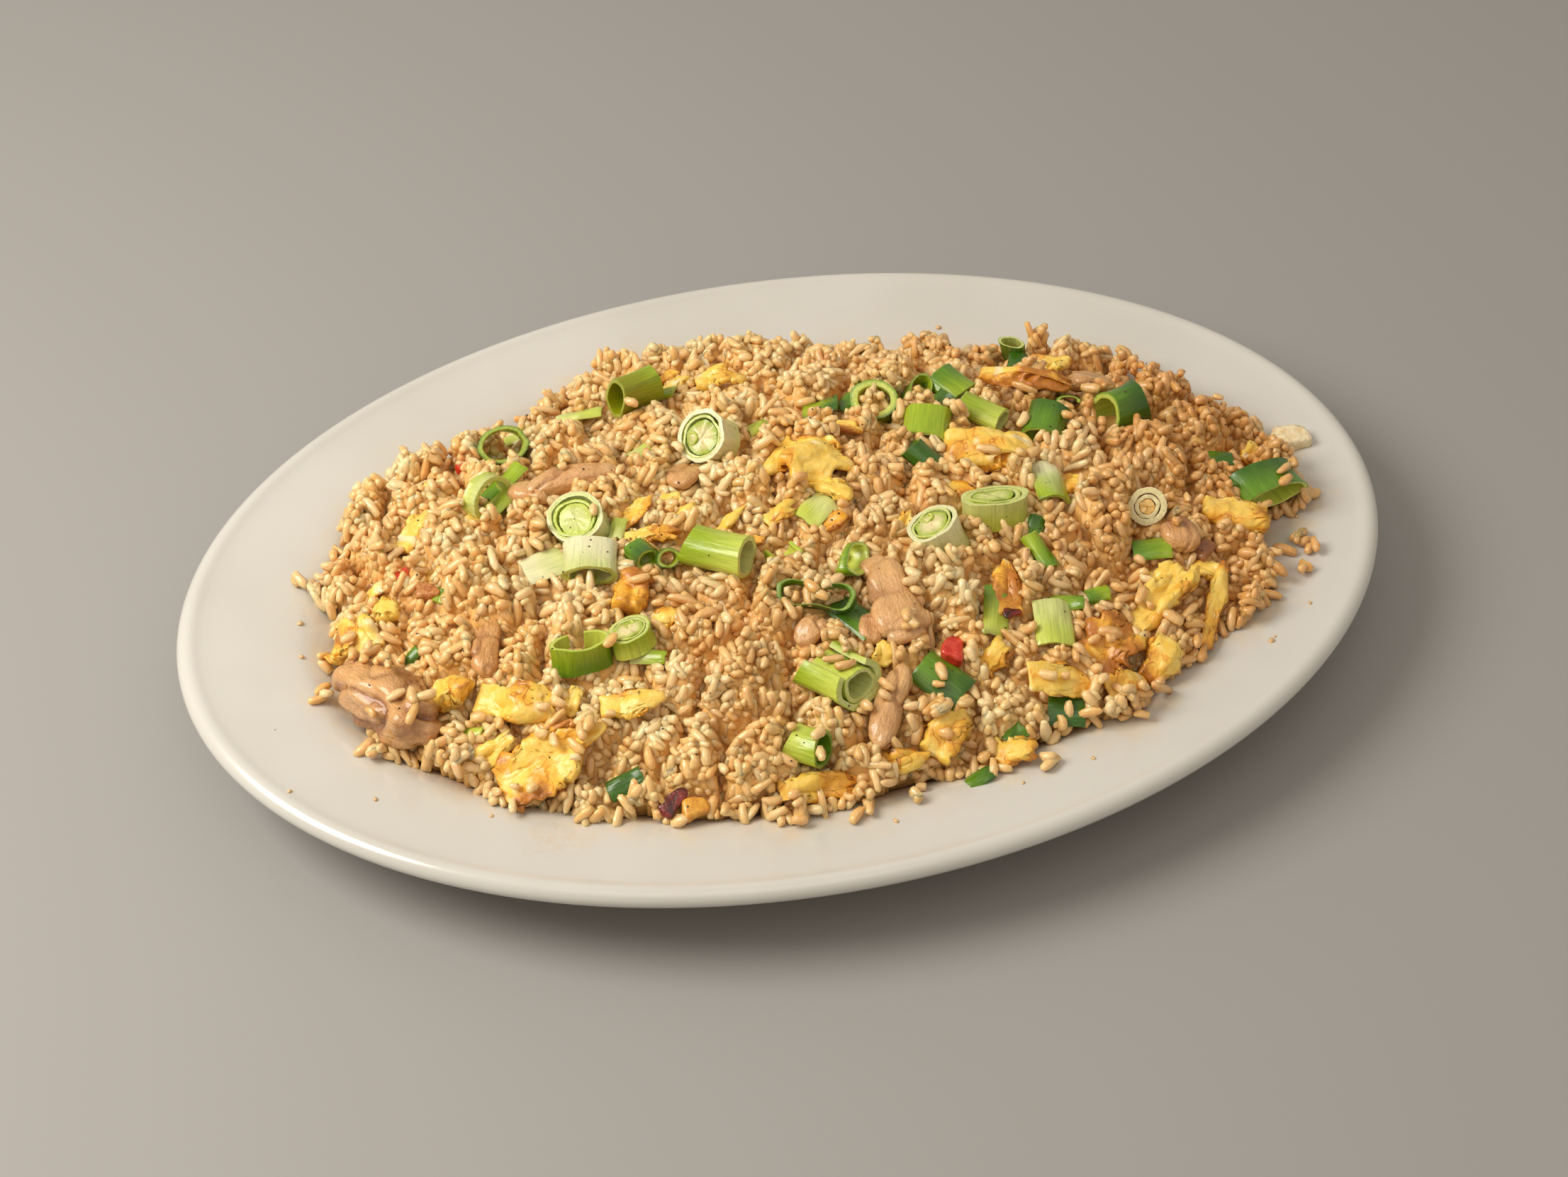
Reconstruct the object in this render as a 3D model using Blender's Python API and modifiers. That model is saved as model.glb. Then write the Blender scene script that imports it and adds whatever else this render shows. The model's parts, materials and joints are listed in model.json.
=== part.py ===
"""An oval platter heaped with fried rice, with chicken, egg and scallion in the heap.

Units are metres, +Z is up, and +X runs along the platter's long axis.
The origin is on the table, under the middle of the platter.
Sizes and places of the food are written in millimetres and degrees and turned
into metres and radians where the meshes are made.
"""
import math

import bmesh
import bpy
from mathutils import Matrix, Vector, noise
from mathutils.bvhtree import BVHTree
from mathutils.geometry import delaunay_2d_cdt

MM = 0.001

# ---------------------------------------------------------------- driving sizes
PLATE_HALF_LENGTH = 159.0
PLATE_HALF_WIDTH = 114.3
PLATE_SEGMENTS = 36
END_TO_SIDE_INSET = 0.85      # a ring's inset at the sides, as a share of its inset at the ends

HEAP_HALF_LENGTH = 127.0
HEAP_HALF_WIDTH = 82.0
HEAP_TOP = 41.0
HEAP_FOOT = 20.5              # height of the smooth top where it meets the border
HEAP_BORDER_POINTS = 60
HEAP_GRID = 11.3
HEAP_GAP = 0.4                # between the rice and the glaze under it
HEAP_LIP = 1.4                # height of the heap's outermost edge above the glaze
HEAP_SHOULDER = 0.955         # where the ring of points just inside the border lies
HEAP_GRID_REACH = 0.90        # the grid of points fills this share of the heap
HEAP_FLOOR_REACH = 0.985      # and the platter's own points fill this share underneath
CLUMP_SIZE = 17.0             # a clump of rice, a few grains wide
POCKET_GAP = 0.6              # how far a pocket stands off the piece that lies in it

# The platter's section, from the edge inward: inset from the edge, height.
TOP_SECTION = [
    (0.0, 21.4), (0.9, 23.8), (3.6, 25.0), (7.0, 23.7), (19.0, 22.0), (29.0, 20.8),
    (33.0, 19.5), (40.0, 15.0), (47.0, 9.8), (54.0, 7.3), (76.0, 7.0),
]
UNDER_SECTION = [
    (3.0, 18.4), (18.0, 16.6), (30.0, 14.6), (38.0, 10.5), (46.0, 4.6), (51.5, 2.6),
    (53.0, 0.0), (57.0, 0.0), (59.0, 2.2), (80.0, 2.6),
]

# How far the rice reaches, as a share of the heap's plain ellipse, by angle.
HEAP_REACH = [
    (-180, 0.95), (-165, 0.97), (-150, 1.00), (-120, 1.04), (-90, 1.06), (-60, 1.07),
    (-40, 1.08), (-22, 1.12), (0, 1.05), (25, 1.01), (41, 1.04), (52, 0.99), (70, 0.95),
    (92, 1.04), (101, 1.07), (112, 1.00), (122, 0.98), (136, 1.05), (152, 1.00), (180, 0.95),
]

COLOURS = {
    "glaze": (0.82, 0.79, 0.71), "rice": (0.78, 0.62, 0.42), "chicken": (0.56, 0.36, 0.22),
    "egg": (0.90, 0.66, 0.16), "scallion": (0.36, 0.56, 0.10), "scallion_pale": (0.72, 0.80, 0.52),
}
ROUGHNESS = {
    "glaze": 0.15, "rice": 0.4, "chicken": 0.35, "egg": 0.4, "scallion": 0.3, "scallion_pale": 0.3,
}

# How far the pieces' shapes stray from a plain ball or a plain sheet.
LUMP_KNOBS = 0.22
LUMP_SQUARENESS = 0.35
LUMP_BEND = 0.16
LUMP_SHRINK = 0.92            # brings the knobbly, squared ball back to its named size
RAGGED_COOKED = 0.28          # the outline of egg and chicken
RAGGED_CUT = 0.04             # the outline of cut scallion

# Rounded pieces: name, colour, x, y, rise over the rice, length, width, height, turn, seed.
LUMPS = [
    ("chicken_long", "chicken", -51, 25.5, 1.2, 27, 8, 7.5, -9, 1),
    ("chicken_lump", "chicken", -112, -24.5, 2.5, 36, 16, 13, -59, 2),
    ("chicken_slab", "chicken", 13, -42.5, 2.0, 29, 16, 8, 93, 3),
    ("chicken_lower", "chicken", 1, -69.5, 1.2, 27, 8, 6.5, 61, 4),
    ("chicken_pink", "chicken", -10.5, -45, 1.0, 11, 7.5, 6.5, 20, 5),
    ("chicken_grey", "chicken", 92.5, -35.5, 1.0, 11.5, 10, 7, 60, 6),
    ("egg_big", "egg", 8, 9, 2.5, 20, 15, 9, -55, 7),
    ("egg_chunk", "egg", 55, 0, 2.0, 23, 12.5, 8, -14, 8),
    ("egg_log", "egg", 75, 26, 2.0, 21, 7, 6, -24, 9),
    ("egg_behind", "egg", 89, 41, 1.0, 12, 7.5, 5, -14, 10),
    ("egg_back", "egg", -1, 59, 2.5, 13.5, 8, 6, -12, 11),
    ("egg_left_strip", "egg", -92.5, 29, 1.5, 16, 8, 4.5, 37, 12),
    ("egg_left_chunk", "egg", -115, -1, 2.5, 17, 12, 8, -45, 13),
    ("egg_left_low", "egg", -96.5, -30.5, 2.0, 11, 9.5, 8.5, -50, 14),
    ("egg_right", "egg", 111, -31, 2.0, 16.5, 10.5, 7.5, -22, 15),
    ("egg_near", "egg", 13.5, -78, 1.5, 15, 12.5, 8, 68, 16),
    ("egg_puff", "egg", -48.5, -19.5, 1.5, 12.5, 10, 7.5, 60, 17),
    ("egg_blob", "egg", 73, -70.5, 2.6, 12, 10.5, 6.5, 20, 18),
]

# Sheets: name, colour, x, y, rise, length, width, thickness, turn, pitch, roll,
# arch over the length, twist along it, ruffle, seed.
SHEETS = [
    ("chicken_sliver", "chicken", -85.5, -21.5, 2.2, 17, 6, 2.0, 67, 0, 25, 1.6, 30, 0.5, 21),
    ("egg_fold", "egg", -83, -41, 2.5, 18, 9, 2.6, -45, 0, 0, 3.4, 20, 0.8, 22),
    ("egg_sheet", "egg", -78.5, -57.5, 2.2, 23, 11, 2.4, 6, 0, 0, 1.5, 10, 1.2, 23),
    ("egg_sixty", "egg", -57, -51, 1.6, 14, 6, 2.8, -12, 0, 0, 1.0, 8, 0.5, 24),
    ("egg_strip_left", "egg", -37.5, -2, 1.0, 13, 5, 2.6, -22, 0, 0, 0.8, 10, 0.4, 25),
    ("egg_twist", "egg", 81.5, -53, 2.2, 22, 9, 2.8, 29, 0, 0, 1.6, 70, 0.6, 26),
    ("egg_ruffle", "egg", 62, -63, 1.8, 13, 10.5, 2.4, -15, 0, 0, 1.0, 10, 1.5, 27),
    ("egg_sheet_near", "egg", 61.5, -75, 3.0, 11, 7, 2.2, -4, 0, 0, 0.8, 0, 0.6, 28),
    ("egg_brown_strip", "egg", 94.5, -56, 1.5, 26, 4.5, 2.4, 62, 0, 0, 0.6, 20, 0.5, 29),
    ("egg_curl", "egg", 45, -72, 2.0, 15, 7.5, 2.6, -20, 0, 0, 2.2, 15, 0.5, 30),
    ("egg_tip_strip", "egg", 41.5, -44, 1.2, 15, 6.5, 2.8, 75, 0, 0, 1.2, 12, 0.5, 31),
    ("egg_strip_mid", "egg", 19, 24, 1.2, 16, 5, 2.6, -34, 0, 0, 1.2, 12, 0.5, 32),
    ("egg_curl_near", "egg", -19.5, -83, 2.0, 20, 6, 2.4, -11, 0, 0, 2.6, 20, 0.6, 33),
    ("scallion_strip_back", "scallion_pale", -40.5, 58, 2.2, 12, 4.5, 1.4, -18, 0, 0, 0.8, 0, 0.1, 34),
    ("scallion_leaf_mid", "scallion", 56, 33, 2.6, 12, 9.5, 1.3, -72, 8, 8, 1.0, 0, 0.1, 35),
    ("scallion_curved", "scallion_pale", 65.5, -14, 2.6, 11.5, 7.5, 1.6, 78, 0, 10, 2.0, 0, 0.1, 36),
    ("scallion_rect", "scallion_pale", 49.5, -56.5, 1.6, 12, 8.3, 1.5, 72, 0, 0, 1.0, 0, 0.1, 37),
    ("scallion_wide_leaf", "scallion", 17, -65.5, 1.4, 12, 8.5, 1.4, -62, 0, 0, 1.2, 0, 0.1, 39),
]

# Cut scallion stems: name, colour, x, y, rise, diameter, length, flatness, wall,
# the axis's azimuth and elevation, how far round the wall goes, waist.
STEMS = [
    ("scallion_leaf_back", "scallion", -25.5, 55, 6.5, 14, 12, 0.32, 1.0, 83, 66, 360, 0),
    ("scallion_ring_left", "scallion", -63.5, 50.5, 2.0, 11.5, 6, 0.85, 1.3, 72, 84, 360, 0),
    ("scallion_loop_left", "scallion_pale", -72.5, 29, 3.0, 14.5, 5.5, 0.8, 1.8, -43, 21, 360, 0),
    ("scallion_ring_big", "scallion_pale", -54, 9, 1.8, 15.5, 6.5, 0.92, 1.6, 72, 86, 360, 0),
    ("scallion_rib_left", "scallion_pale", -55, -5.5, 2.0, 13.5, 11, 0.55, 1.5, -108, -4, 360, 0),
    ("scallion_white_core", "scallion_pale", -13.5, 27.5, 3.2, 12, 8.5, 1.0, 2.0, -167, 35, 360, 0),
    ("scallion_oval_ring", "scallion_pale", 33, 29.5, 1.6, 11.6, 4.5, 0.75, 1.6, -36, 83, 360, 0),
    ("scallion_bright_mid", "scallion", 42.5, 16, 2.2, 12, 11, 0.55, 1.2, -116, -6, 360, 0),
    ("scallion_tube_mid", "scallion", 59, 19.5, 1.8, 7, 13, 0.7, 0.9, -51, -10, 360, 0),
    ("scallion_big_dark", "scallion", 96, 11.5, 4.0, 15.5, 13, 0.7, 1.1, -134, 0, 360, 0),
    ("scallion_green_tube", "scallion", 74, 10, 2.4, 10, 13, 0.65, 0.9, -124, -12, 360, 0),
    ("scallion_half_right", "scallion", 124.5, -21.5, 2.5, 13, 16, 0.7, 1.1, -38, -3, 215, 0),
    ("scallion_big_pale", "scallion_pale", 48, -20, 2.2, 17, 8, 0.6, 1.8, 88, 75, 360, 0),
    ("scallion_white_mid", "scallion_pale", 30.5, -25.5, 1.8, 12, 8.5, 0.95, 2.0, 166, 60, 360, 0),
    ("scallion_white_right", "scallion_pale", 87.5, -26, 1.8, 9, 6.5, 1.0, 1.5, -136, 31, 360, 0),
    ("scallion_pointed", "scallion", 6.5, -27.5, 1.8, 10.5, 4.6, 0.6, 1.0, -38, 23, 360, 0),
    ("scallion_bright_low", "scallion", -24.5, -14.5, 2.4, 10, 15, 0.8, 1.3, -33, 4, 360, 0),
    ("scallion_c_ring", "scallion", -65, -33, 2.2, 14, 7.5, 0.75, 1.3, 93, 78, 300, 0),
    ("scallion_light_ring", "scallion_pale", -52, -33.5, 1.8, 9.5, 6, 0.85, 1.8, 152, 70, 360, 0),
    ("scallion_double", "scallion", -6, -38, 2.2, 17.5, 3.6, 0.4, 0.9, 75, 86, 360, 0.5),
    ("scallion_folded", "scallion_pale", -8.5, -60.5, 1.8, 12.8, 14.5, 0.8, 1.4, -43, -6, 235, 0),
    ("scallion_pale_half", "scallion_pale", -21, -74.5, 1.8, 10, 8, 0.8, 1.5, -112, -18, 200, 0),
]

STEM_SIDES = 9
LUMP_SIDES = (8, 5)
BIG_LUMP_SIDES = (11, 7)
BIG_LUMP_LENGTH = 28.0


# ---------------------------------------------------------------- scene helpers
def clear_scene():
    for old in list(bpy.data.objects):
        bpy.data.objects.remove(old)


def new_collection(name):
    collection = bpy.data.collections.new(name)
    bpy.context.scene.collection.children.link(collection)
    return collection


def make_materials():
    materials = {}
    for name, colour in COLOURS.items():
        material = bpy.data.materials.new(name)
        material.use_nodes = True
        shader = material.node_tree.nodes["Principled BSDF"]
        shader.inputs["Base Color"].default_value = (*colour, 1.0)
        shader.inputs["Roughness"].default_value = ROUGHNESS[name]
        shader.inputs["Metallic"].default_value = 0.0
        materials[name] = material
    return materials


def add_object(name, work_mesh, collection, material=None):
    """Turn a bmesh into a named object and free the bmesh."""
    bmesh.ops.recalc_face_normals(work_mesh, faces=work_mesh.faces)
    mesh = bpy.data.meshes.new(name)
    work_mesh.to_mesh(mesh)
    work_mesh.free()
    if material:
        mesh.materials.append(material)
    item = bpy.data.objects.new(name, mesh)
    collection.objects.link(item)
    return item


def evaluated_bmesh(item):
    """The object's mesh as its modifiers leave it, in world space."""
    depsgraph = bpy.context.evaluated_depsgraph_get()
    finished = item.evaluated_get(depsgraph)
    work_mesh = bmesh.new()
    work_mesh.from_mesh(finished.to_mesh())
    finished.to_mesh_clear()
    work_mesh.transform(item.matrix_world)
    return work_mesh


# ---------------------------------------------------------------- the platter
def plate_ring(inset, height):
    """The points of one ring of the platter, which is a narrower ellipse further in."""
    half_length = PLATE_HALF_LENGTH - inset
    half_width = PLATE_HALF_WIDTH - END_TO_SIDE_INSET * inset
    ring = []
    for step in range(PLATE_SEGMENTS):
        angle = math.tau * step / PLATE_SEGMENTS
        ring.append(Vector((half_length * math.cos(angle), half_width * math.sin(angle), height)))
    return ring


def make_plate(collection, material):
    """A loft through unlike ellipses, down the inside from the edge and back underneath."""
    work_mesh = bmesh.new()
    rings = [plate_ring(inset, height) for inset, height in TOP_SECTION[::-1] + UNDER_SECTION]
    loops = [[work_mesh.verts.new(point * MM) for point in ring] for ring in rings]
    for inner, outer in zip(loops, loops[1:]):
        for step in range(PLATE_SEGMENTS):
            after = (step + 1) % PLATE_SEGMENTS
            work_mesh.faces.new((inner[step], inner[after], outer[after], outer[step]))
    for loop in (loops[0], loops[-1]):
        middle = work_mesh.verts.new((0, 0, loop[0].co.z))
        for step in range(PLATE_SEGMENTS):
            work_mesh.faces.new((loop[step], loop[(step + 1) % PLATE_SEGMENTS], middle))
    plate = add_object("plate", work_mesh, collection, material)
    plate.data.shade_smooth()
    plate.data.set_sharp_from_angle(angle=math.radians(40))
    return plate


# ---------------------------------------------------------------- the heap's form
def reach(angle):
    """How far the rice reaches in this direction, eased between the listed angles."""
    degrees = math.degrees(angle)
    for (start, low), (end, high) in zip(HEAP_REACH, HEAP_REACH[1:]):
        if start <= degrees <= end:
            share = (degrees - start) / (end - start)
            return low + (high - low) * (0.5 - 0.5 * math.cos(math.pi * share))
    return HEAP_REACH[0][1]


def border_point(angle, share=1.0):
    scale = reach(angle) * share
    return Vector((HEAP_HALF_LENGTH * scale * math.cos(angle), HEAP_HALF_WIDTH * scale * math.sin(angle)))


def heap_share(x, y):
    """0 in the middle of the heap and 1 at its border."""
    across, along = x / HEAP_HALF_LENGTH, y / HEAP_HALF_WIDTH
    return math.hypot(across, along) / reach(math.atan2(along, across))


def heap_height(x, y):
    """The smooth top of the rice, which falls to the rim at the border."""
    share = min(heap_share(x, y), 1.0)
    return HEAP_FOOT + (HEAP_TOP - HEAP_FOOT) * (1 - share ** 2.2) ** 0.75


def heap_normal(x, y):
    step = 3.0
    slope_x = (heap_height(x + step, y) - heap_height(x - step, y)) / (2 * step)
    slope_y = (heap_height(x, y + step) - heap_height(x, y - step)) / (2 * step)
    return Vector((-slope_x, -slope_y, 1)).normalized()


def heap_unevenness(x, y):
    """Clumps a few grains wide that make the rice's surface rise and fall."""
    spot = Vector((x / CLUMP_SIZE, y / CLUMP_SIZE, 4.2))
    return 1.5 * noise.noise(spot) + 0.8 * noise.noise(spot * 2.3)


# ---------------------------------------------------------------- placing the pieces
def laid_matrix(x, y, rise, turn, pitch=0.0, roll=0.0):
    """Lay a piece's own x-y plane on the rice, turned about the rice's normal."""
    up = heap_normal(x, y)
    heading = Vector((math.cos(math.radians(turn)), math.sin(math.radians(turn)), 0))
    side = up.cross(heading).normalized()
    forward = side.cross(up)
    axes = Matrix((forward, side, up)).transposed().to_4x4()
    lean = Matrix.Rotation(math.radians(-pitch), 4, "Y") @ Matrix.Rotation(math.radians(roll), 4, "X")
    place = Vector((x, y, heap_height(x, y) + rise)) * MM
    return Matrix.Translation(place) @ axes @ lean


def leaning_matrix(x, y, rise, azimuth, elevation):
    """Point a piece's own z axis along an azimuth and an elevation."""
    turn = Matrix.Rotation(math.radians(azimuth), 4, "Z")
    lean = Matrix.Rotation(math.radians(90 - elevation), 4, "Y")
    place = Vector((x, y, heap_height(x, y) + rise)) * MM
    return Matrix.Translation(place) @ turn @ lean


# ---------------------------------------------------------------- the pieces' shapes
def make_lump(row, collection, materials):
    """A cooked chunk: a ball drawn out to its size, knobbly and a little squared."""
    name, colour, x, y, rise, length, width, height, turn, seed = row
    sides, bands = BIG_LUMP_SIDES if length > BIG_LUMP_LENGTH else LUMP_SIDES
    work_mesh = bmesh.new()
    bmesh.ops.create_uvsphere(work_mesh, u_segments=sides, v_segments=bands, radius=1.0)
    for vert in work_mesh.verts:
        knob = 1.0 + LUMP_KNOBS * noise.noise(vert.co * 1.3 + Vector((seed * 7.3, 0, 0)))
        squared = max(abs(vert.co.x), abs(vert.co.y), abs(vert.co.z)) ** -LUMP_SQUARENESS
        vert.co *= knob * squared
        vert.co.y += LUMP_BEND * math.sin(2.4 * vert.co.x + seed)
        vert.co *= LUMP_SHRINK
        vert.co.x *= 0.5 * length * MM
        vert.co.y *= 0.5 * width * MM
        vert.co.z *= 0.5 * height * MM
    work_mesh.transform(laid_matrix(x, y, rise, turn))
    lump = add_object(name, work_mesh, collection, materials[colour])
    lump.data.shade_smooth()
    return lump


def make_sheet(row, collection, materials):
    """A flat piece with an uneven outline, arched, twisted and ruffled."""
    name, colour, x, y, rise, length, width, thick, turn, pitch, roll, arch, twist, ruffle, seed = row
    work_mesh = bmesh.new()
    bmesh.ops.create_grid(work_mesh, x_segments=5, y_segments=2, size=0.5)
    ragged = RAGGED_COOKED if colour in ("egg", "chicken") else RAGGED_CUT
    for vert in work_mesh.verts:
        along, across = vert.co.x, vert.co.y
        edge_noise = noise.noise(Vector((along * 3.1, across * 2.3, seed * 5.7)))
        here = Vector((along * length, across * width * (1 + ragged * 2 * edge_noise), 0))
        here.x *= 1 + ragged * 0.5 * noise.noise(Vector((across * 4.0, seed * 3.1, 0)))
        here.z = arch * (0.25 - along * along) * 4 - 0.5 * arch
        here.z += ruffle * math.sin(along * 9 + across * 4 + seed)
        here = Matrix.Rotation(math.radians(twist) * along, 3, "X") @ here
        vert.co = here * MM
    work_mesh.transform(laid_matrix(x, y, rise, turn, pitch, roll))
    sheet = add_object(name, work_mesh, collection, materials[colour])
    sheet.data.shade_smooth()
    skin = sheet.modifiers.new("thickness", "SOLIDIFY")
    skin.thickness = thick * MM
    skin.offset = 0.0
    return sheet


def make_stem(row, collection, materials):
    """A short length of scallion stem: a tube, or one that is slit open."""
    name, colour, x, y, rise, diameter, length, flatness, wall, azimuth, elevation, sweep, waist = row
    work_mesh = bmesh.new()
    radius = 0.5 * (diameter - wall)
    if sweep == 360:
        bmesh.ops.create_cone(work_mesh, cap_ends=False, segments=STEM_SIDES, radius1=1, radius2=1, depth=1)
        rounds = [(math.atan2(vert.co.y, vert.co.x), vert.co.z, vert) for vert in work_mesh.verts]
    else:
        bmesh.ops.create_grid(work_mesh, x_segments=STEM_SIDES - 1, y_segments=1, size=0.5)
        rounds = [(math.pi + math.radians(sweep) * vert.co.x, vert.co.y, vert) for vert in work_mesh.verts]
    for angle, along, vert in rounds:
        narrow = 1 - waist * math.cos(angle) ** 4
        vert.co.x = radius * flatness * narrow * math.cos(angle) * MM
        vert.co.y = radius * math.sin(angle) * MM
        vert.co.z = along * length * MM
    work_mesh.transform(leaning_matrix(x, y, rise, azimuth, elevation))
    stem = add_object(name, work_mesh, collection, materials[colour])
    stem.data.shade_smooth()
    skin = stem.modifiers.new("wall", "SOLIDIFY")
    skin.thickness = wall * MM
    skin.offset = 0.0
    return stem


# ---------------------------------------------------------------- the rice
def triangulated(points, creases=()):
    """Triangles inside the border, which is the first points; creases are edges to keep."""
    flat = [Vector((point.x, point.y)) for point in points]
    border = [(step, (step + 1) % HEAP_BORDER_POINTS) for step in range(HEAP_BORDER_POINTS)]
    result = delaunay_2d_cdt(flat, border + list(creases), [list(range(HEAP_BORDER_POINTS))], 1, 1e-4)
    return result[0], result[2]


def grid_points():
    """A triangular grid that fills the heap inside its border."""
    points = []
    row_step = HEAP_GRID * math.sqrt(3) / 2
    rows = int(HEAP_HALF_WIDTH * 1.2 / row_step)
    columns = int(HEAP_HALF_LENGTH * 1.2 / HEAP_GRID)
    for row in range(-rows, rows + 1):
        for column in range(-columns, columns + 1):
            x = (column + 0.5 * (row % 2)) * HEAP_GRID
            y = row * row_step
            if heap_share(x, y) < HEAP_GRID_REACH:
                points.append(Vector((x, y)))
    return points


def well_points():
    """The platter's own ring points under the rice, and the ring edges between them."""
    points, creases = [], []
    for inset, height in TOP_SECTION:
        ring = plate_ring(inset, height)
        inside = [heap_share(point.x, point.y) < HEAP_FLOOR_REACH for point in ring]
        number = {}
        for step, point in enumerate(ring):
            if inside[step]:
                number[step] = HEAP_BORDER_POINTS + len(points)
                points.append(point)
        for step in number:
            after = (step + 1) % PLATE_SEGMENTS
            if after in number:
                creases.append((number[step], number[after]))
    points.append(Vector((0, 0, 0)))
    return points, creases


def make_heap(collection, material, plate):
    """The rice as one solid that fills the platter's well to its uneven outline."""
    plate_mesh = evaluated_bmesh(plate)
    glaze = BVHTree.FromBMesh(plate_mesh)
    plate_mesh.free()

    def glaze_height(point):
        return glaze.ray_cast(Vector((point.x, point.y, 100.0)) * MM, Vector((0, 0, -1)))[0].z / MM

    angles = [math.tau * (step + 0.5) / HEAP_BORDER_POINTS - math.pi for step in range(HEAP_BORDER_POINTS)]
    border = [border_point(angle) for angle in angles]
    shoulder = [border_point(angle, HEAP_SHOULDER) for angle in angles]
    floor, creases = well_points()

    work_mesh = bmesh.new()
    rim = []
    for point in border:
        height = glaze_height(point) + HEAP_GAP + HEAP_LIP
        rim.append(work_mesh.verts.new(Vector((point.x, point.y, height)) * MM))

    top_points, top_faces = triangulated(border + shoulder + grid_points())
    upper = list(rim)
    for point in top_points[HEAP_BORDER_POINTS:]:
        height = heap_height(point.x, point.y) + heap_unevenness(point.x, point.y)
        height = max(height, glaze_height(point) + HEAP_GAP + 2 * HEAP_LIP)
        upper.append(work_mesh.verts.new(Vector((point.x, point.y, height)) * MM))
    for face in top_faces:
        work_mesh.faces.new([upper[index] for index in face])

    low_points, low_faces = triangulated(border + floor, creases)
    lower = list(rim)
    for point in low_points[HEAP_BORDER_POINTS:]:
        height = glaze_height(point) + HEAP_GAP
        lower.append(work_mesh.verts.new(Vector((point.x, point.y, height)) * MM))
    for face in low_faces:
        work_mesh.faces.new([lower[index] for index in reversed(face)])
    return add_object("rice_heap", work_mesh, collection, material)


def make_pocket(piece, cutters):
    """The convex outside of a piece, grown a little, to cut its place in the rice."""
    work_mesh = evaluated_bmesh(piece)
    hull = bmesh.ops.convex_hull(work_mesh, input=work_mesh.verts)
    spare = set(hull["geom_interior"]) | set(hull["geom_unused"])
    spare_verts = [part for part in spare if isinstance(part, bmesh.types.BMVert)]
    bmesh.ops.delete(work_mesh, geom=spare_verts, context="VERTS")
    outside = {face for face in hull["geom"] if isinstance(face, bmesh.types.BMFace)}
    inside = [face for face in work_mesh.faces if face not in outside]
    bmesh.ops.delete(work_mesh, geom=inside, context="FACES")
    bmesh.ops.recalc_face_normals(work_mesh, faces=work_mesh.faces)
    work_mesh.normal_update()
    moves = [(vert, vert.normal.copy()) for vert in work_mesh.verts]
    for vert, outward in moves:
        vert.co += outward * POCKET_GAP * MM
    pocket = add_object("pocket_" + piece.name, work_mesh, cutters)
    pocket.hide_render = True
    pocket.display_type = "WIRE"
    return pocket


def cut_pockets(heap, pieces, cutters):
    for piece in pieces:
        cut = heap.modifiers.new("pocket_" + piece.name, "BOOLEAN")
        cut.operation = "DIFFERENCE"
        cut.solver = "EXACT"
        cut.object = make_pocket(piece, cutters)


def main():
    clear_scene()
    parts = new_collection("fried_rice_plate")
    cutters = new_collection("cutters")
    materials = make_materials()
    plate = make_plate(parts, materials["glaze"])
    pieces = [make_lump(row, parts, materials) for row in LUMPS]
    pieces += [make_sheet(row, parts, materials) for row in SHEETS]
    pieces += [make_stem(row, parts, materials) for row in STEMS]
    heap = make_heap(parts, materials["rice"], plate)
    cut_pockets(heap, pieces, cutters)


main()
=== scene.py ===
"""Chicken fried rice on an oval platter: real grains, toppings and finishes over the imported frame.

Lengths here are millimetres and angles are degrees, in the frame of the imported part: the origin
is on the table under the middle of the platter, +X runs along it and +Z is up. Meshes turn them
into metres where they are made. Every random draw is seeded, so each run gives the same dish.
"""
import itertools
import json
import math
import zlib

import bpy
import numpy as np
from mathutils import Matrix, Vector
from mathutils.bvhtree import BVHTree


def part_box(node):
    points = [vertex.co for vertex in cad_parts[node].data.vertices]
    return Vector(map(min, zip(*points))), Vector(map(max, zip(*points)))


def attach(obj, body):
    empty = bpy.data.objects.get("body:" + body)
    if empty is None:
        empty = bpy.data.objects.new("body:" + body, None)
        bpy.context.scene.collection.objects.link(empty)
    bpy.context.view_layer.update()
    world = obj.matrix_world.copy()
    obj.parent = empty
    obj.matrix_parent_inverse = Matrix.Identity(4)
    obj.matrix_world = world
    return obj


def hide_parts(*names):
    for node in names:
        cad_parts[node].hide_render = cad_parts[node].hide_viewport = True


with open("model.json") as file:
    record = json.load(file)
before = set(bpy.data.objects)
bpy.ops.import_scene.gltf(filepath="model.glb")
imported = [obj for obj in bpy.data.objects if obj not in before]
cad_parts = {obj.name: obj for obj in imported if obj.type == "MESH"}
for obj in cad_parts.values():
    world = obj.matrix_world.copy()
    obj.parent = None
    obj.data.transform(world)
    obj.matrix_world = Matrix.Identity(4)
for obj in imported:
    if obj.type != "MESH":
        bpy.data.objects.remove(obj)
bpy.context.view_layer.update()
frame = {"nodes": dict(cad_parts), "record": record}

MM = 0.001
TOPPING_NODES = sorted(name for name in frame["nodes"] if name not in ("plate", "rice_heap"))
NODE_SLOTS = {part["node"]: part["material_slot"] for part in frame["record"]["subparts"]}

# ---------------------------------------------------------------- driving sizes
CELL = 0.5                    # of the height maps
SWELL_SIZE = 34.0             # of the slow rises and hollows in the rice
SWELL = 2.4
CLUMPS = [(18.0, 4.8, 3.2), (8.4, 1.7, 1.2)]   # of grains stuck together: size, dome, uneven levels
POCKET_MARGIN = 3             # cells round a topping that its pocket in the solid takes up
FILL_DEPTH = 1.5              # of the core under the tops of the grains
CORE_CELL = 1.5               # of the core's surface
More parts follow.
